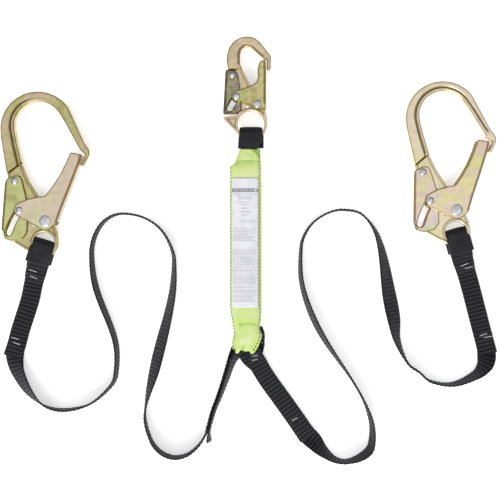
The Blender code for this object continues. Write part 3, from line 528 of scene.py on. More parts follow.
def strip(name, sections, start=0.0):
    """Ribbed webbing through sections of (place, across, face, width), in mm."""
    rings, ribs, uvs = [], [], []
    s = start
    for k, (place, across, face, width) in enumerate(sections):
        if k:
            s += (place - sections[k - 1][0]).length
        rib = 0.5 + 0.5 * math.cos(math.tau * s / RIB_PITCH)
        rib = smooth(0.12, 0.88, rib)
        ring = []
        for side in (1, -1):
            span = ACROSS if side == 1 else ACROSS[::-1]
            for u in span[:-1]:
                inner = smooth(1.0, 0.86, abs(u))
                edge = (1 - abs(u) ** 6) ** 0.5
                wobble = 0.16 * noise.noise((s * 0.35, u * 2.1 + 7 * side, start + 3.0))
                half = VISIBLE_THICK / 2 * max(edge, 0.16)
                thick = half + RIB_DEPTH * (2 * rib - 1) * inner + wobble * 0.4 * inner
                out = width / 2 * (u + 0.008 * (2 * rib - 1) * (abs(u) > 0.9) * (1 if u > 0 else -1))
                ring.append(place + across * out + face * side * thick)
                # The rib value is painted light: the ribs' tops are lit and the gaps between them shaded.
                ribs.append(rib * inner * 0.9 + 0.1 * inner + 0.28 * (1 - inner))
                uvs.append((s, u * width / 2 + 40 * side))
        rings.append(ring)
    return mesh_of_rings(name, rings, uvs=uvs, rib=ribs), s


def arc_sections(station, sign, steps=14):
    """The half turn of a fold, from the far ply to the near ply."""
    place, along, across, face, apart, width = station
    made = []
    for i in range(1, steps):
        turn = math.pi * i / steps
        out = face * math.cos(turn) + along * sign * math.sin(turn)
        made.append((place + out * apart, across, out, width))
    return made


def bartack(station, shift, reach, slant):
    """Zigzag stitches across the near face of a doubled stretch."""
    place, along, across, face, apart, _ = station
    lift = apart + VISIBLE_THICK / 2 + RIB_DEPTH + 0.15
    top = face if face.z > 0 else -face
    points = []
    for i in range(13):
        t = i / 12 - 0.5
        zig = 0.32 if i % 2 else -0.32
        points.append(place + across * (shift + reach * t) + along * (zig + slant * t) + top * lift)
    return points


SPLAY = 7  # stations before its cut end where a sewn-back tail leaves the run
PAST_CUT = 7
YARNS = 22
FRAYS = {"left": [], "right": []}


def overhang(route, cut, sign, side, splay=0.7, lean=0.0):
    """The end of a sewn-back tail: it runs straight on, past the last stitches, to a frayed cut."""
    place, along, across, face, gap, width = route[cut - sign * SPLAY]
    lead = along * sign
    made = []
    count = SPLAY + PAST_CUT
    for k in range(count, -1, -1):
        share = k / count
        turn = math.radians(lean) * smooth(0.0, 1.0, share)
        tipped = across * math.cos(turn) + face * math.sin(turn)
        out = face * math.cos(turn) - across * math.sin(turn)
        spot = place + lead * (k * LENGTH_STEP) + face * (gap + splay * share**1.5)
        made.append((spot, tipped, out, width * (1 + 0.03 * share)))
    end, across, face, _ = made[0]
    for i in range(YARNS):
        u = (i + 0.5) / YARNS - 0.5
        reach = 0.7 + 1.3 * abs(noise.noise((i * 0.9, 2.0, cut * 0.1)))
        depth = 0.9 * noise.noise((i * 1.3, 5.0, 1.0))
        start = end + across * (u * width * 0.98) - lead * 0.8 + face * depth
        drift = across * noise.noise((i * 0.7, 9.0, 3.0)) + face * noise.noise((i * 0.8, 1.0, 6.0))
        tip = start + lead * (0.8 + reach) + drift * 0.8
        FRAYS[side].append([start, start + lead * (0.8 + reach * 0.5), tip])
    return made


LEFT_STUB = (3.4, -9.0)  # the left leg's tail stands off its run at the absorber, and leans


def make_leg(side, hook_end, run, pack_end):
    """A leg: its webbing as one run, and the sewn-back ends as pieces beside it."""
    route = framed(smooth_route(hook_end + run + pack_end, LENGTH_STEP))
    hook_cut, pack_cut = nearest(route, hook_end[-1]), nearest(route, pack_end[0])
    prefix = side + "_leg"

    near = [(p - f * gap, c, f, w) for p, _, c, f, gap, w in route]
    mesh, length = strip(prefix + "_webbing", near)
    leg = new_object(prefix + "_run", mesh, WEB, "lanyard", [prefix + "_webbing"])

    pieces = []
    far_hook = overhang(route, hook_cut, 1, side)
    far_hook += [(p + f * gap, c, f, w) for p, _, c, f, gap, w in route[:hook_cut - SPLAY]][::-1]
    far_hook += arc_sections(route[0], -1)
    mesh, _ = strip(prefix + "_hook_tail", far_hook, start=2.0)
    pieces.append(new_object(prefix + "_hook_tail", mesh, WEB, "lanyard"))
    far_pack = arc_sections(route[-1], 1)[::-1]
    far_pack += [(p + f * gap, c, f, w) for p, _, c, f, gap, w in route[pack_cut + SPLAY:]][::-1]
    far_pack += overhang(route, pack_cut, -1, side, *(LEFT_STUB if side == "left" else ()))[::-1]
    mesh, _ = strip(prefix + "_pack_tail", far_pack, start=1.0)
    pieces.append(new_object(prefix + "_pack_tail", mesh, WEB, "lanyard"))
    path = [tuple(section[0] * MM) for section in near]
    return leg, route, path, length, pieces, (hook_cut, pack_cut)


LEGS = {}
for leg_side, tables in (
    ("left", (LEFT_HOOK_END, LEFT_RUN, LEFT_PACK_END)),
    ("right", (RIGHT_HOOK_END, RIGHT_RUN, RIGHT_PACK_END)),
):
    LEGS[leg_side] = make_leg(leg_side, *tables)
    piece, route, path, length, tails, cuts = LEGS[leg_side]


# ---------------------------------------------------------------- bartacks on the legs
# Share of the sewn stretch, shift across, reach and slant, for the stretch at the hook and at the absorber.
BARTACKS = {
    "left": (
        [
            (0.24, -3.5, 12.0, 0.5), (0.285, -0.5, 10.0, 1.2), (0.875, -3.5, 11.0, 0.0),
            (0.915, 0.0, 10.5, 0.8),
        ],
        [],
    ),
    "right": (
        [(0.25, -0.8, 11.0, -1.0), (0.285, 4.0, 11.0, 1.0), (0.87, 0.0, 11.0, -1.0), (0.90, 5.5, 12.0, 1.0)],
        [(0.155, 1.5, 8.5, 0.6), (0.79, 2.0, 8.0, 0.3), (0.82, 0.5, 9.0, 0.4)],
    ),
}


def add_bartacks():
    """White bar tacks on each sewn stretch, and the loose yarns of each cut end."""
    for side, marks in BARTACKS.items():
        route, cuts = LEGS[side][1], LEGS[side][5]
        white = []
        for (start, end), stretch in zip(((0, cuts[0]), (cuts[1], len(route) - 1)), marks):
            for share, *shape in stretch:
                white.append(bartack(route[start + round((end - start) * share)], *shape))
        thread(side + "_leg_bartacks", white, 0.3, THREAD_WHITE)
        thread(side + "_leg_frays", FRAYS[side], 0.16, THREAD_BLACK)


add_bartacks()


# ---------------------------------------------------------------- sleeves
def sleeve(name, replaced, sections, wall=0.7, seed=0.0):
    """A soft tube round a folded strip, with a rolled hem at each end and a few wrinkles."""
    outer, inner = [], []
    count = len(sections)
    sides = 40
    run = 0.0
    for k, (place, across, face, width) in enumerate(sections):
        if k:
            run += (place - sections[k - 1][0]).length
        ring_out, ring_in = [], []
        hem = max(smooth(3.5, 1.0, k), smooth(3.5, 1.0, count - 1 - k))
        for i in range(sides):
            turn = math.tau * (i + 0.5) / sides
            c, s = math.cos(turn), math.sin(turn)
            x = math.copysign(abs(c) ** 0.5, c)
            z = math.copysign(abs(s) ** 0.5, s)
            ripple = noise.noise((run * 0.16 + seed, c * 1.4, s * 1.4 + seed))
            fine = noise.noise((run * 0.5, c * 3.1 + seed, s * 3.1))
            puff = 0.35 * ripple * abs(s) + 0.12 * fine + 0.12 * hem
            for ring, back in ((ring_out, 0.0), (ring_in, wall)):
                half = width / 2 + 0.3 + wall - back
                deep = WEB_THICK / 2 + 0.3 + wall - back
                ring.append(place + across * x * (half + puff) + face * z * (deep + puff * 0.8))
        outer.append(ring_out)
        inner.append(ring_in)
    mesh = mesh_of_rings(name, outer + inner[::-1], joined=True)
    new_object(name, mesh, SLEEVE, "lanyard", [replaced])


def leg_sleeve(side):
    """The wear sleeve round a leg's fold in the hook's eye."""
    route = LEGS[side][1]
    reach = sum((s[0] - route[0][0]).length < SLEEVE_REACH for s in route[:200])
    covered = route[:reach]
    start = route[0][0]
    wide = [25.0 + 5.5 * smooth(0.5, 6.5, (station[0] - start).length) for station in covered]
    around = [(s[0] + s[3] * s[4], s[2], s[3], w) for s, w in zip(covered[::-1], wide[::-1])]
    around += [(p, c, f, 25.0) for p, c, f, _ in arc_sections(route[0], -1, 18)]
    around += [(s[0] - s[3] * s[4], s[2], -s[3], w) for s, w in zip(covered, wide)]
    sleeve(side + "_wear_sleeve", side + "_hook_sleeve", around, seed=3.0 if side == "left" else 9.0)


leg_sleeve("left")
leg_sleeve("right")

SNAP_EYE = [c / MM for c in JOINTS["snap_hook_swivel"]["pos_m"]]


def folded(x, y, near, far, steps):
    """Sections round a fold in a hook's eye, open to the south, from (x, y, apart, width) rows."""
    _, _, apart, width = far[0]
    made = [(Vector((u[0], u[1], HOOK_MID + u[2])), ACROSS_VIEW, UP, u[3]) for u in near[::-1]]
    made += arc_sections((Vector((x, y, HOOK_MID)), -UP_VIEW, ACROSS_VIEW, UP, apart, width), -1, steps)
    return made + [(Vector((u[0], u[1], HOOK_MID - u[2])), ACROSS_VIEW, -UP, u[3]) for u in far]


def snap_loop():
    """The sleeve on the absorber's top strap, in the snap hook's eye. Its near end is cut on the slant."""
    x, y = SNAP_EYE[0], SNAP_EYE[1] - 12.6
    near = [(x, y, 6.9, 29.0), (x + 0.3, y - 5.0, 7.0, 31.5), (x - 0.9, y - 9.0, 7.1, 30.0),
            (x - 5.2, y - 20.6, 7.0, 22.5)]
    far = [(x, y, EYE_FOLD, 29.0), (x + 0.3, y - 5.0, EYE_FOLD, 31.5), (x + 0.4, y - 18.6, EYE_FOLD, 31.5)]
    around = folded(x, y, curve_through(near, 1.0), curve_through(far, 1.0), 18)
    sleeve("snap_wear_sleeve", "snap_loop_sleeve", around, seed=5.0)


snap_loop()

# ---------------------------------------------------------------- hooks
# A hook's own plan has its eye at the origin and its crown up the Y axis, in mm.
GATE_PIVOT = {"rebar": (2.6, 28.8), "snap": (8.6, 26.6)}
REBAR_BEAD = [(-26.0, 98.0), (-29.4, 107.0), (-35.2, 130.8)]
REBAR_BEAD += [(-7.0 + 32.5 * math.cos(math.radians(a)), 157.0 + 32.5 * math.sin(math.radians(a)))
               for a in range(187, 36, -5)]
REBAR_BEAD += [(28.4, 161.6), (41.3, 137.7), (49.0, 124.6)]
SNAP_BEAD = [(16.4, 88.6), (7.6, 96.2), (2.0, 101.6), (-2.9, 104.0), (-8.7, 104.0), (-13.2, 99.8),
             (-15.0, 93.0), (-14.5, 80.0)]
REBAR_STEP, SNAP_STEP = [(-49.5, 91.8), (-29.4, 107.0)], [(-30.9, 73.2), (-12.0, 74.2)]
HOOKS = {
    "left": {
        "kind": "rebar", "bead": REBAR_BEAD, "width": 5.8, "depth": 1.5, "fades": True, "step": REBAR_STEP,
    },
    "right": {
        "kind": "rebar", "bead": REBAR_BEAD, "width": 5.6, "depth": 1.6, "fades": False, "step": REBAR_STEP,
    },
    "snap": {
        "kind": "snap", "bead": SNAP_BEAD, "width": 2.6, "depth": 0.9, "fades": False, "step": SNAP_STEP,
    },
}
GATE_SPINE = [(51.4, 116.0), (48.7, 105.7), (38.1, 77.9), (25.0, 45.1), (18.0, 26.5)]


def own_plan(side, places):
    """Where each place lies in the hook's own plan, which its two joints give."""
    eye = Vector(JOINTS[side + "_hook_swivel"]["pos_m"][:2]) / MM
    pivot = Vector(JOINTS[side + "_gate_open"]["pos_m"][:2]) / MM
    own = GATE_PIVOT[HOOKS[side]["kind"]]
    reach = pivot - eye
    turn = math.atan2(reach.y, reach.x) - math.atan2(own[1], own[0])
    c, s = math.cos(turn), math.sin(turn)
    dx, dy = places[:, 0] - eye.x, places[:, 1] - eye.y
    return np.column_stack((dx * c + dy * s, dy * c - dx * s))


def off_line(own, line):
    """How far each place in a plan is from a polyline."""
    nearest_off = np.full(len(own), np.inf)
    for low, high in zip(line, line[1:]):
        reach = np.array(high) - np.array(low)
        share = np.clip((own - low) @ reach / (reach @ reach), 0.0, 1.0)
        off = np.linalg.norm(own - low - share[:, None] * reach, axis=1)
        nearest_off = np.minimum(nearest_off, off)
    return nearest_off


def dense(points, step=0.6):
    """Points every step along a polyline, and how far along it each one is."""
    made, along, run = [], [], 0.0
    for a, b in zip(points, points[1:]):
        reach = math.dist(a, b)
        count = max(round(reach / step), 1)
        for i in range(count):
            made.append((a[0] + (b[0] - a[0]) * i / count, a[1] + (b[1] - a[1]) * i / count))
            along.append(run + reach * i / count)
        run += reach
    return made + [points[-1]], along + [run]


def tree_of(points):
    """A tree that finds the nearest of some points in plan."""
    tree = kdtree.KDTree(len(points))
    for i, p in enumerate(points):
        tree.insert((p[0], p[1], 0.0), i)
    tree.balance()
    return tree


def vectors_of(mesh, key):
    values = np.empty(len(mesh.vertices) * 3)
    mesh.vertices.foreach_get(key, values)
    return values.reshape(-1, 3)


def remeshed(source, voxel):
    """A fine, even copy of a CAD node's mesh, in mm."""
    copy = bpy.data.objects.new("remeshed", source.data.copy())
    bpy.context.scene.collection.objects.link(copy)
    fine = copy.modifiers.new("fine", "REMESH")
    fine.mode, fine.voxel_size = "VOXEL", voxel * MM
    mesh = bpy.data.meshes.new_from_object(copy.evaluated_get(bpy.context.evaluated_depsgraph_get()))
    bpy.data.objects.remove(copy)
    return mesh, vectors_of(mesh, "co") / MM


def relaxed(mesh, places, rounds):
    """Rounds off the edges of a fine mesh: each round moves every vertex halfway to its neighbours' mean."""
    edges = np.empty(len(mesh.edges) * 2, dtype=int)
    mesh.edges.foreach_get("vertices", edges)
    first, second = edges[::2], edges[1::2]
    size = len(places)
    degree = np.maximum(np.bincount(first, minlength=size) + np.bincount(second, minlength=size), 1)
    for _ in range(rounds):
        for values in places.T:
            total = np.bincount(first, values[second], size) + np.bincount(second, values[first], size)
            values += 0.5 * (total / degree - values)
    return places


def finish_mesh(mesh, places):
    mesh.vertices.foreach_set("co", (places * MM).ravel())
    mesh.shade_smooth()
    mesh.update()


def forged_body(side):
    """A forged hook: rounded edges, a bead along the bar's inside and a low rim round the plate."""
    hook = HOOKS[side]
    body = side + "_hook"
    mesh, places = remeshed(frame["nodes"][body + "_body"], 0.6 if hook["kind"] == "snap" else 0.8)
    places = relaxed(mesh, places, 5)
    own = own_plan(side, places)
    height = places[:, 2] - HOOK_MID
    up = np.abs(height)
    bead, along = dense(hook["bead"])
    bead_tree, wall_tree = tree_of(bead), tree_of(own[up < PLATE_HALF - 1.6])
    # Besides shaping the bar's groove, this array is painted shade: the material darkens the groove, the foot of
    # the plate's rim and the step by it.
    groove_and_shade = np.zeros(len(places))
    width = hook["width"]
    for i in np.nonzero(up >= PLATE_HALF - 0.7)[0]:
        sign = 1 if height[i] > 0 else -1
        x, y = own[i]
        if up[i] > PLATE_HALF + 0.8:  # the bar: a crowned bead inside a groove
            _, k, off = bead_tree.find((x, y, 0.0))
            share = along[k] / along[-1]
            live = smooth(0.0, 0.04, share) * smooth(1.0, 0.955, share)
            if hook["fades"]:
                live *= 1 - 0.85 * smooth(0.42, 0.55, share)
            # The groove's profile both sinks the bar and paints shade in the groove.
            groove_and_shade[i] = live * math.exp(-(((off - width) / (0.16 * width + 0.15)) ** 2))
            crown = 0.55 * (off / (width * 0.5) - 1) ** 2 if off < width else 0.25
            grain = 0.10 * noise.noise((x * 0.12, y * 0.12, 3.0 + sign))
            places[i, 2] -= sign * (hook["depth"] * groove_and_shade[i] + crown * live + max(grain, -0.05))
        else:  # the plate: a rim along its outline
            _, _, off = wall_tree.find((x, y, 0.0))
            places[i, 2] += sign * (0.42 * smooth(3.6, 2.6, off) - 0.12)
            # Painted shade along the foot of the rim.
            groove_and_shade[i] = 0.95 * math.exp(-(((off - 3.4) / 0.8) ** 2))
    # Painted shade on the wall of the step where the bar drops to the plate.
    root = off_line(own, hook["step"])
    for i in np.nonzero((root < 2.2) & (up > PLATE_HALF - 1))[0]:
        groove_and_shade[i] = max(groove_and_shade[i], 0.95 * smooth(2.2, 0.9, root[i]))
    finish_mesh(mesh, relaxed(mesh, places, 1))
    edge_shade(mesh, groove_and_shade, 0.75)
    new_object(side + "_forged_hook", mesh, PLATED[body], body, [body + "_body"])


def edge_shade(mesh, groove_and_shade, depth):
    """Paints shade onto a fine mesh's rounded edges and the faces close to them, and keeps the painted shade of
    whatever is in a groove.
    """
    up = np.abs(vectors_of(mesh, "normal")[:, 2])
    edge = np.exp(-(((up - 0.66) / 0.26) ** 2)) * depth
    places = vectors_of(mesh, "co") / MM
    walls = tree_of(places[up < 0.35][::2])
    for i in np.nonzero((up > 0.8) & (np.abs(places[:, 2] - HOOK_MID) > PLATE_HALF + 0.8))[0]:
        _, _, off = walls.find((places[i, 0], places[i, 1], 0.0))
        if off < 2.1:
            edge[i] = max(edge[i], depth * 0.85 * smooth(2.1, 1.0, off))
    mesh.attributes.new("groove_and_shade", "FLOAT", "POINT").data.foreach_set("value", np.maximum(groove_and_shade, edge))


def pressed_plate(side, piece, node_name):
    """A gate or lever of pressed plate, with its bends and edges rounded."""
    mesh, places = remeshed(frame["nodes"][node_name], 0.5 if side == "snap" else 0.6)
    places = relaxed(mesh, places, 4)
    for i in np.nonzero(np.abs(places[:, 2] - HOOK_MID) > 4.0)[0]:
        x, y, z = places[i]
        places[i, 2] += 0.14 * noise.noise((x * 0.06, y * 0.06, 2.0 + (z > HOOK_MID)))
    finish_mesh(mesh, places)
    bend = np.zeros(len(places))
    # Painted shade along the gate's rounded bend at its spine.
    if piece == "gate" and side != "snap":
        bend = 0.42 * np.clip((3.4 - off_line(own_plan(side, places), GATE_SPINE)) / 0.7, 0.0, 1.0)
    edge_shade(mesh, bend, 0.95)
    body = f"{side}_{piece}"
    new_object(f"{side}_pressed_{piece}", mesh, PLATED[body], body, [node_name])


RIVET_SIDES = 48
DOME_RINGS = (0.12, 0.24, 0.36, 0.48, 0.6, 0.72, 0.83, 0.92, 0.98)


def rivet(node_name, body):
    """A peened rivet: domed heads round a shank."""
    low, high = (Vector(c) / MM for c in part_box(node_name))
    centre = (low + high) / 2
    radius, half = (high.x - low.x) / 2, (high.z - low.z) / 2
    shank = radius * (0.46 if "tail" in node_name else 0.42)
    under, dome = half - min(1.6, half * 0.22), min(1.7, half * 0.24)
    upper = [(radius * share, half - dome * 0.78 * share**2.2) for share in DOME_RINGS]
    upper += [(radius, half - dome * 0.88), (radius * 0.985, under), (shank, under)]
    upper = [(r, z) for r, z in upper if z >= under - 1e-6]
    verts = [centre + Vector((0.0, 0.0, half))]
    for r, z in upper + [(r, -z) for r, z in upper[::-1]]:
        for i in range(RIVET_SIDES):
            turn = math.tau * i / RIVET_SIDES
            out = r * (1 + 0.012 * math.sin(turn * 3 + centre.x))
            verts.append(centre + Vector((math.cos(turn) * out, math.sin(turn) * out, z)))
    verts.append(centre - Vector((0.0, 0.0, half)))
    faces = []
    last = 1 + (2 * len(upper) - 1) * RIVET_SIDES
    for i in range(RIVET_SIDES):
        j = (i + 1) % RIVET_SIDES
        faces.append((0, 1 + i, 1 + j))
        faces += [(k + i, k + RIVET_SIDES + i, k + RIVET_SIDES + j, k + j)
                  for k in range(1, last, RIVET_SIDES)]
        faces.append((last + i, len(verts) - 1, last + j))
    name = node_name.replace("rivet", "peened_rivet")
    new_object(name, mesh_from(name, verts, faces), ZINC, body, [node_name])


def coil_spring(node_name):
    """Rounds off a CAD spring's wire."""
    spring = frame["nodes"][node_name]
    spring.modifiers.new("weld", "WELD").merge_threshold = 0.05 * MM
    smooth_wire = spring.modifiers.new("smooth", "SUBSURF")
    smooth_wire.levels = smooth_wire.render_levels = 1


for hook_side in ("left", "right", "snap"):
    hook_name = hook_side + "_hook"
    forged_body(hook_side)
    pressed_plate(hook_side, "gate", hook_name + "_gate")
    pressed_plate(hook_side, "lever", hook_name + "_lock_lever")
    rivet(hook_name + "_gate_rivet", hook_name)
    rivet(hook_name + "_lever_rivet", hook_name)
    rivet(hook_name + "_tail_rivet", hook_side + "_gate")
    coil_spring(hook_name + "_gate_spring")
    coil_spring(hook_name + "_lever_spring")


# ---------------------------------------------------------------- the absorber
# A row of the cover: y, left edge, right edge, lowest and highest point.
COVER = [
    (57.2, -12.0, 15.8, 1.2, 20.2), (54.0, -12.8, 16.0, 1.0, 20.6), (48.0, -15.0, 16.4, 0.8, 21.0),
    (40.0, -18.0, 17.0, 0.6, 21.4), (37.4, -19.2, 17.3, 0.4, 21.6), (35.8, -23.8, 17.8, 0.2, 21.9),
    (34.0, -25.1, 17.9, 0.0, 22.2), (-150.0, -25.1, 17.9, 0.0, 22.2), (-158.0, -24.9, 17.9, 0.0, 22.2),
    (-171.8, -22.9, 17.2, 0.0, 22.1), (-178.0, -21.6, 15.6, 0.0, 21.9), (-184.0, -20.4, 15.4, 0.0, 22.0),
    (-191.0, -19.3, 18.4, 0.0, 22.3), (-197.3, -21.6, 19.0, 0.0, 22.3), (-209.5, -21.8, 19.0, 0.4, 22.3),
]
COVER_POWER = 3.5  # of the superellipse that its section is
COVER_TOP, COVER_END = COVER[0][0], COVER[-1][0]
# How far down the upper layer of the mouth reaches, across its width: lobes with gathers between.
MOUTH = [
    (-21.8, -208.5), (-20.8, -211.0), (-18.5, -214.5), (-16.3, -217.0), (-13.8, -216.2), (-12.0, -214.2),
    (-11.0, -211.6), (-8.0, -212.4), (-5.0, -213.6), (-2.5, -214.2), (-0.8, -212.6), (0.1, -210.2),
    (1.4, -213.6), (3.2, -216.6), (5.0, -217.3), (7.2, -216.4), (9.2, -214.2), (13.9, -206.0),
    (18.8, -194.0),
]
MOUTH_UNDER = -204.0  # where the lower layer ends
NECK_START = -176.0
LABEL_TOP, LABEL_BOTTOM = 18.4, -155.0
LABEL_LEFT, LABEL_RIGHT = -22.4, 13.4


def along_table(table, value):
    """A table's values at a place between its rows, which start with the place and run one way."""
    keys, *columns = zip(*table)
    sign = 1 if keys[-1] > keys[0] else -1
    return [float(np.interp(sign * value, [sign * key for key in keys], column)) for column in columns]


def cover_row(y):
    """The cover's section at a place along it: its middle, half width, lowest and highest point."""
    left, right, low, high = along_table(COVER, y)
    return (left + right) / 2, (right - left) / 2, low, high


def bell(value, middle, width):
    return math.exp(-(((value - middle) / width) ** 2))


def wrinkle(x, y):
    """How far the fabric stands out, how much shade is painted in its creases, and how much painted reflection
    pales it.
    """
    calm = smooth(LABEL_TOP + 2, LABEL_TOP + 10, y) + smooth(LABEL_BOTTOM + 1, LABEL_BOTTOM - 9, y)
    out = (0.10 + 0.50 * calm) * noise.noise((x * 0.09, y * 0.06, 1.5))
    fold = 0.10 * max(noise.noise((x * 0.12, y * 0.10, 4.0)), 0.0) * (1 + 2 * calm)
    neck = bell(y, 41.6 + 0.02 * x, 1.3) * (0.45 + 0.55 * bell(x, -2.0, 9.0))
    ledge = bell(y, 38.0, 0.9) * 0.5
    tuck = bell(y, -175.6 - 0.012 * (x + 1) ** 2, 1.7) * smooth(-15.0, -11.0, x) * smooth(13.0, 9.0, x)
    dimple = bell(x, -10.5, 1.8) * bell(y, -177.9, 2.2)
    gather = bell(x, -6.2 + 0.3 * (y + 208), 1.3) * smooth(-200.0, -207.0, y)
    nick = bell(x, 0.1, 0.9) * smooth(-204.0, -209.0, y)
    out -= 1.5 * neck + 0.6 * ledge + 0.9 * tuck + 0.6 * dimple + 1.6 * gather + 1.3 * nick
    fold += 0.95 * neck + 0.35 * ledge + 0.55 * tuck + 0.6 * dimple + 0.85 * gather + 0.6 * nick
    lobes = smooth(-198.0, -214.0, y)
    out += lobes * 0.7 * math.sin(x * 0.42 + 0.8)
    # The strip beside the neck lies lower than the neck's own front.
    beside = smooth(-0.6, 0.8, (x - 6.0) * 0.77 + (y - 56.3) * 0.64) * smooth(44.0, 48.0, y)
    out -= 2.6 * beside
    fold += 0.5 * beside
    out += 0.6 * smooth(44.0, 52.0, y) * noise.noise((x * 0.22, y * 0.2, 8.0))
    # A painted reflection in bands above and below the label, and a paler patch at the mouth.
    pale = 0.55 * smooth(36.0, 20.0, y) * smooth(LABEL_TOP - 6, LABEL_TOP, y)
    pale += 0.35 * smooth(LABEL_BOTTOM + 2, LABEL_BOTTOM - 4, y) * smooth(-173.0, -168.0, y)
    pale += 0.7 * bell(x, -3.5, 9.0) * bell(y, -200.5, 6.5) + 0.15 * bell(y, -186.0, 6.0)
    return out, min(fold, 1.0), min(pale, 1.0)


def surface_at(x, y, lift=0.0):
    """A point on the cover's wrinkled upper surface."""
    middle, half, low, high = cover_row(y)
    share = min(abs(x - middle) / half, 0.999)
    rise = (1 - share**COVER_POWER) ** (1 / COVER_POWER)
    out = wrinkle(x, y)[0]
    return Vector((x, y, (low + high) / 2 + ((high - low) / 2 + out) * rise + lift))


def make_cover():
    """The fabric tube: a folded neck, a plain middle, and a mouth of gathered lobes."""
    sides, wall = 112, 0.8
    outer, inner, folds, pales = [], [], [], []
    count = round((COVER_TOP - COVER_END) / 1.5)
    power = 2 / COVER_POWER
    end_middle, end_half = cover_row(COVER_END)[:2]
    for k in range(count + 1):
        level = COVER_TOP + (COVER_END - COVER_TOP) * k / count
        ring_out, ring_in = [], []
        for i in range(sides):
            turn = math.tau * (i + 0.5) / sides
            c, s = math.cos(turn), math.sin(turn)
            ex = math.copysign(abs(c) ** power, c)
            ez = math.copysign(abs(s) ** power, s)
            y = level
            if level < NECK_START:
                share = (NECK_START - level) / (NECK_START - COVER_END)
                end = along_table(MOUTH, end_middle + ex * end_half)[0] if s > 0 else MOUTH_UNDER
                y = NECK_START + (end - NECK_START) * share
            middle, half, low, high = cover_row(y)
            out, fold, pale = wrinkle(middle + ex * half, y)
            droop = 1.6 * smooth(-207.0, -217.0, y)
            if s < 0:
                out = droop = 0.0
            centre, tall = (low + high) / 2, (high - low) / 2 + out - droop
            spread = half + 0.12 * out
            ring_out.append(Vector((middle + ex * spread, y, max(centre + ez * tall, 0.06))))
            ring_in.append(Vector((middle + ex * (spread - wall), y, centre + ez * (tall - wall))))
            # Painted shade in the creases and a painted reflection, on the upper side only.
            folds.append(fold if s > -0.3 else 0.0)
            pales.append(pale if s > 0 else 0.0)
        outer.append(ring_out)
        inner.append(ring_in)
    # The inside of the tube is given painted shade; the painted reflection stays on the outside.
    inside_folds, inside_pales = [0.7] * len(folds), [0.0] * len(pales)
    mesh = mesh_of_rings("absorber_fabric", outer + inner[::-1], joined=True,
                         fold=folds + inside_folds, pale=pales + inside_pales)
    cover = new_object("absorber_fabric", mesh, LIME, "lanyard", ["absorber_cover"])


def make_cover_stitches():
    """A row of running stitches down each edge of the cover, round its mouth's outer corners."""
    runs = []
    pitch, reach = 4.7, 2.7
    left = [(-23.5, 33.5), (-23.6, -150.0), (-23.2, -158.0), (-21.2, -171.8), (-19.9, -180.0),
            (-18.0, -191.0), (-20.6, -197.6), (-21.0, -203.5), (-19.6, -209.0), (-16.6, -213.6)]
    right = [(14.6, 56.0), (14.5, 34.0), (14.4, -150.0), (15.4, -158.0), (15.6, -170.0), (13.6, -180.0),
             (15.6, -188.0), (15.4, -195.0), (13.0, -201.0), (8.8, -209.0), (6.4, -213.0)]
    for line in (left, right):
        spots, along = dense(line, 0.3)
        at = 0.4
        while at + reach < along[-1]:
            points = []
            for i, lift in enumerate((-0.15, 0.25, 0.25, -0.15)):
                k = min(range(len(along)), key=lambda j: abs(along[j] - at - reach * i / 3))
                points.append(surface_at(*spots[k], lift))
            runs.append(points)
            at += pitch
    thread("absorber_edge_stitches", runs, 0.66, THREAD_GREEN)


def add_film(verts, faces, box, columns, rows, lifts):
    """Adds a thin closed film (left, right, top, bottom) that follows the cover's front."""
    left, right, top, bottom = box
    base, step = len(verts), columns + 1
    size = step * (rows + 1)
    for lift in lifts:
        for j in range(rows + 1):
            y = top + (bottom - top) * j / rows
            for i in range(step):
                x = left + (right - left) * i / columns
                verts.append(surface_at(x, y, lift + 0.10 * noise.noise((x * 0.15, y * 0.05, 6.0))))
    for j in range(rows):
        for i in range(columns):
            a = base + j * step + i
            faces.append((a, a + step, a + step + 1, a + 1))
            faces.append((size + a, size + a + 1, size + a + step + 1, size + a + step))
    rim = list(range(columns)) + [step * j + columns for j in range(rows)]
    rim += [step * rows + i for i in range(columns, 0, -1)] + [step * j for j in range(rows, 0, -1)]
    for a, b in zip(rim, rim[1:] + rim[:1]):
        faces.append((base + a, base + b, base + size + b, base + size + a))


def make_label():
    """The label film, laid on the cover's front, and its print."""
    verts, faces = [], []
    add_film(verts, faces, (LABEL_LEFT, LABEL_RIGHT, LABEL_TOP, LABEL_BOTTOM), 26, 116, (0.75, 0.5))
    mesh = mesh_from("label_film", verts, faces)
    label = new_object("label_film", mesh, LABEL, "lanyard", ["absorber_label"])
    make_print()


def bars(name, boxes, material):
    """Thin printed bars, laid on the label."""
    verts, faces = [], []
    for box in boxes:
        columns = max(round((box[1] - box[0]) / 1.5), 1)
        add_film(verts, faces, box, columns, 1, (0.83, 0.76))
    new_object(name, mesh_from(name, verts, faces), material, "lanyard")


def line_of(start, end, y, tall):
    """One line of print as short bars with gaps between them."""
    made = []
    x = start
    while x < end - 1.0:
        reach = min(random.uniform(1.2, 4.2), end - x)
        made.append((x, x + reach, y, y - tall))
        x += reach + random.uniform(0.6, 1.0)
    return made


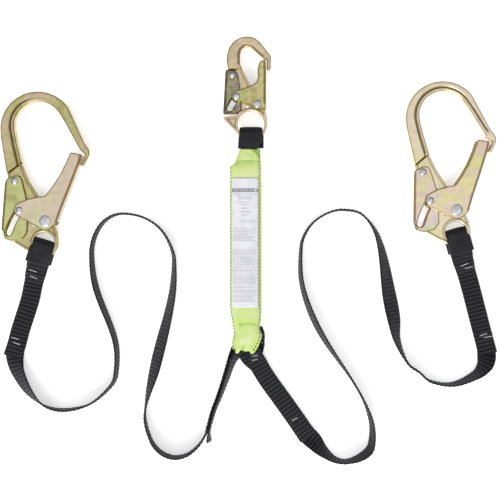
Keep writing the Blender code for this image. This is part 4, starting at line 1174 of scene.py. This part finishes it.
def make_print():
    """A framed header and groups of made-up marks that stand for print."""
    left, right = LABEL_LEFT + 0.8, LABEL_RIGHT - 0.8
    header = [(left, right, 4.2, 3.4), (left, right, 0.2, -0.6)]
    header += [(left, left + 1.3, 3.4, 0.2), (right - 1.3, right, 3.4, 0.2)]
    x = left + 2.6
    while x < right - 4.5:
        header.append((x, x + 2.0, 2.8, 0.8))
        x += 3.1
    bars("label_header", header, PRINT_DARK)
    boxes = []
    for y, inset in ((-3.0, 1.5), (-6.6, 7.0), (-9.0, 8.0), (-13.4, 9.5), (-16.4, 12.0), (-21.8, 13.0),
                     (-26.6, 9.0), (-30.8, 12.0)):
        boxes += line_of(left + inset, right - inset, y, 1.0)
    for y in (-38.0, -40.4):
        boxes += line_of(left + 12.0, right - 4.0, y, 0.8)
    for i in range(8):
        boxes += line_of(left + 2.0, right - (14.0, 3.0, 6.0, 2.5)[i % 4], -48.0 - 2.4 * i, 0.8)
    y = -77.0
    while y > -148.0:
        boxes += line_of(left + 1.4, right - random.choice([1.2, 1.6, 5.0, 2.0]), y, 0.85)
        y -= random.choice([2.05, 2.05, 2.05, 2.9])
    bars("label_lines", boxes, PRINT)


# Loose folds of the legs' ends, in the frame: x, y, z, width and lean.
LOOSE_FOLDS = {
    "leg_fold_beside_mouth": [
        (16.0, -181.0, 12.5, 5.0, 0.3), (17.6, -188.0, 12.5, 8.0, 0.35), (18.2, -194.0, 11.5, 9.0, 0.5),
        (17.7, -200.0, 9.5, 9.0, 0.35), (17.5, -206.0, 6.5, 9.4, 0.2), (16.6, -211.0, 3.8, 9.0, 0.1),
        (16.0, -217.0, 2.2, 8.0, 0.0),
    ],
    "leg_fold_below_mouth": [
        (-3.0, -206.0, 8.0, 12.0, -0.2), (-5.0, -214.0, 8.0, 15.0, -0.15), (-4.6, -221.0, 7.5, 15.5, -0.1),
        (-1.2, -228.0, 6.5, 13.5, 0.0), (3.6, -235.0, 5.5, 9.5, 0.0), (8.4, -242.0, 4.5, 5.0, 0.0),
    ],
}


def strap(name, sections, replaced=()):
    mesh, _ = strip(name, sections)
    new_object(name, mesh, WEB, "lanyard", replaced)


def make_straps():
    """The webbing at the absorber's ends: two straps that it is sewn to, and loose folds of the legs."""
    rows = [(1.6, 84.2, EYE_FOLD, 26.0), (1.4, 79.2, EYE_FOLD, 27.0), (0.8, 68.2, EYE_FOLD, 25.0),
            (-0.8, 63.5, 5.2, 22.0), (-1.6, 52.0, 4.0, 22.0), (-4.0, 42.0, 2.4, 24.0),
            (-5.4, 35.0, 1.65, 25.0)]
    rows = curve_through([(x - CENTRE[0], y - CENTRE[1], apart, width) for x, y, apart, width in rows])
    strap("top_strap_fold", folded(*rows[0][:2], rows, rows, 14), ["absorber_top_strap"])

    loop = [(-9.6, -153.4), (-12.6, -160.0), (-16.4, -167.0), (-17.8, -175.0), (-17.8, -181.0),
            (-17.2, -184.6), (-15.0, -186.5), (-4.0, -186.5), (7.6, -186.5), (10.4, -185.2), (11.2, -182.0),
            (10.4, -175.0), (9.0, -167.0), (3.0, -160.0), (-1.4, -153.4)]
    path = [Vector((x - CENTRE[0], y - CENTRE[1], NECK_MID)) for x, y in curve_through(loop)]
    bunched = 9.8
    sections = [(spot, UP, heading(path, k).cross(UP), bunched) for k, spot in enumerate(path)]
    strap("bottom_strap_loop", sections, ["absorber_bottom_strap"])

    for name, rows in LOOSE_FOLDS.items():
        rows = curve_through(rows)
        path = [Vector(row[:3]) for row in rows]
        sections = []
        for k, (_, _, _, width, lean) in enumerate(rows):
            along = heading(path, k)
            side = (Vector((-along.y, along.x, 0.0)).normalized() + UP * lean).normalized()
            sections.append((path[k], side, along.cross(side).normalized(), width))
        strap(name, sections)


make_straps()
make_cover()
make_cover_stitches()
make_label()

# ---------------------------------------------------------------- floor and light
def make_floor():
    mesh = bpy.data.meshes.new("floor")
    shape = bmesh.new()
    bmesh.ops.create_grid(shape, x_segments=2, y_segments=2, size=6.0)
    shape.to_mesh(mesh)
    shape.free()
    floor = bpy.data.objects.new("floor", mesh)
    bpy.context.scene.collection.objects.link(floor)
    made, _, shader = nodes_of("floor_white", 0.9, specular=0.1)
    shader.inputs["Base Color"].default_value = (0.93, 0.93, 0.93, 1)
    shader.inputs["Emission Color"].default_value = (*WHITE, 1)
    shader.inputs["Emission Strength"].default_value = 0.4
    mesh.materials.append(made)


LIT_PLACE = Vector((0.0, -0.05, 0.0))


def area_light(name, place, size, power):
    data = bpy.data.lights.new(name, "AREA")
    data.shape = "RECTANGLE"
    data.size, data.size_y = size
    data.energy = power
    light = bpy.data.objects.new(name, data)
    light.location = place
    aim = LIT_PLACE - Vector(place)
    light.rotation_euler = aim.to_track_quat("-Z", "Y").to_euler()
    bpy.context.scene.collection.objects.link(light)


def make_world():
    """A pale room: white overhead and a darker band at the sides for the metal to mirror."""
    world = bpy.data.worlds.new("studio")
    world.use_nodes = True
    tree = world.node_tree
    back = tree.nodes["Background"]
    split = node(tree, "SeparateXYZ", {"Vector": node(tree, "TexCoord").outputs["Generated"]}).outputs
    up = ramp(tree, split["Z"], (0.0, (0.10, 0.10, 0.11)), (0.35, (0.20, 0.20, 0.21)),
              (0.62, (0.45, 0.45, 0.46)), (0.86, WHITE), (1.0, (0.92, 0.92, 0.92)))
    level = node(tree, "MapRange", {"Value": split["Y"], "From Min": -1.0, "To Min": 0.0}).outputs["Result"]
    front = ramp(tree, level, (0.1, (1.15,) * 3), (0.5, (0.95,) * 3), (0.9, (0.55, 0.55, 0.57)))
    tree.links.new(mixed(tree, 1.0, up, front, "MULTIPLY"), back.inputs["Color"])
    back.inputs["Strength"].default_value = 1.0
    bpy.context.scene.world = world


make_floor()
make_world()
bpy.context.scene.view_settings.view_transform = "Standard"
area_light("key", (-0.5, -2.0, 1.3), (1.6, 1.0), 52)
area_light("side", (-2.1, 0.9, 1.4), (1.0, 1.4), 22)
area_light("fill", (2.1, 0.7, 1.4), (1.0, 1.4), 20)
for soft_light in ("side", "fill"):
    bpy.data.objects[soft_light].visible_glossy = False

# ---------------------------------------------------------------- carried-over nodes
FINISHES = {"zinc_steel": ZINC, "black_webbing": STRAP, "tear_webbing": CORE}


def dress_cad():
    """Gives each CAD node that stays its finish."""
    for part in frame["record"]["subparts"]:
        obj = frame["nodes"][part["node"]]
        if obj.hide_render:
            continue
        obj.data.materials.clear()
        obj.data.materials.append(FINISHES[part["material_slot"]])


dress_cad()
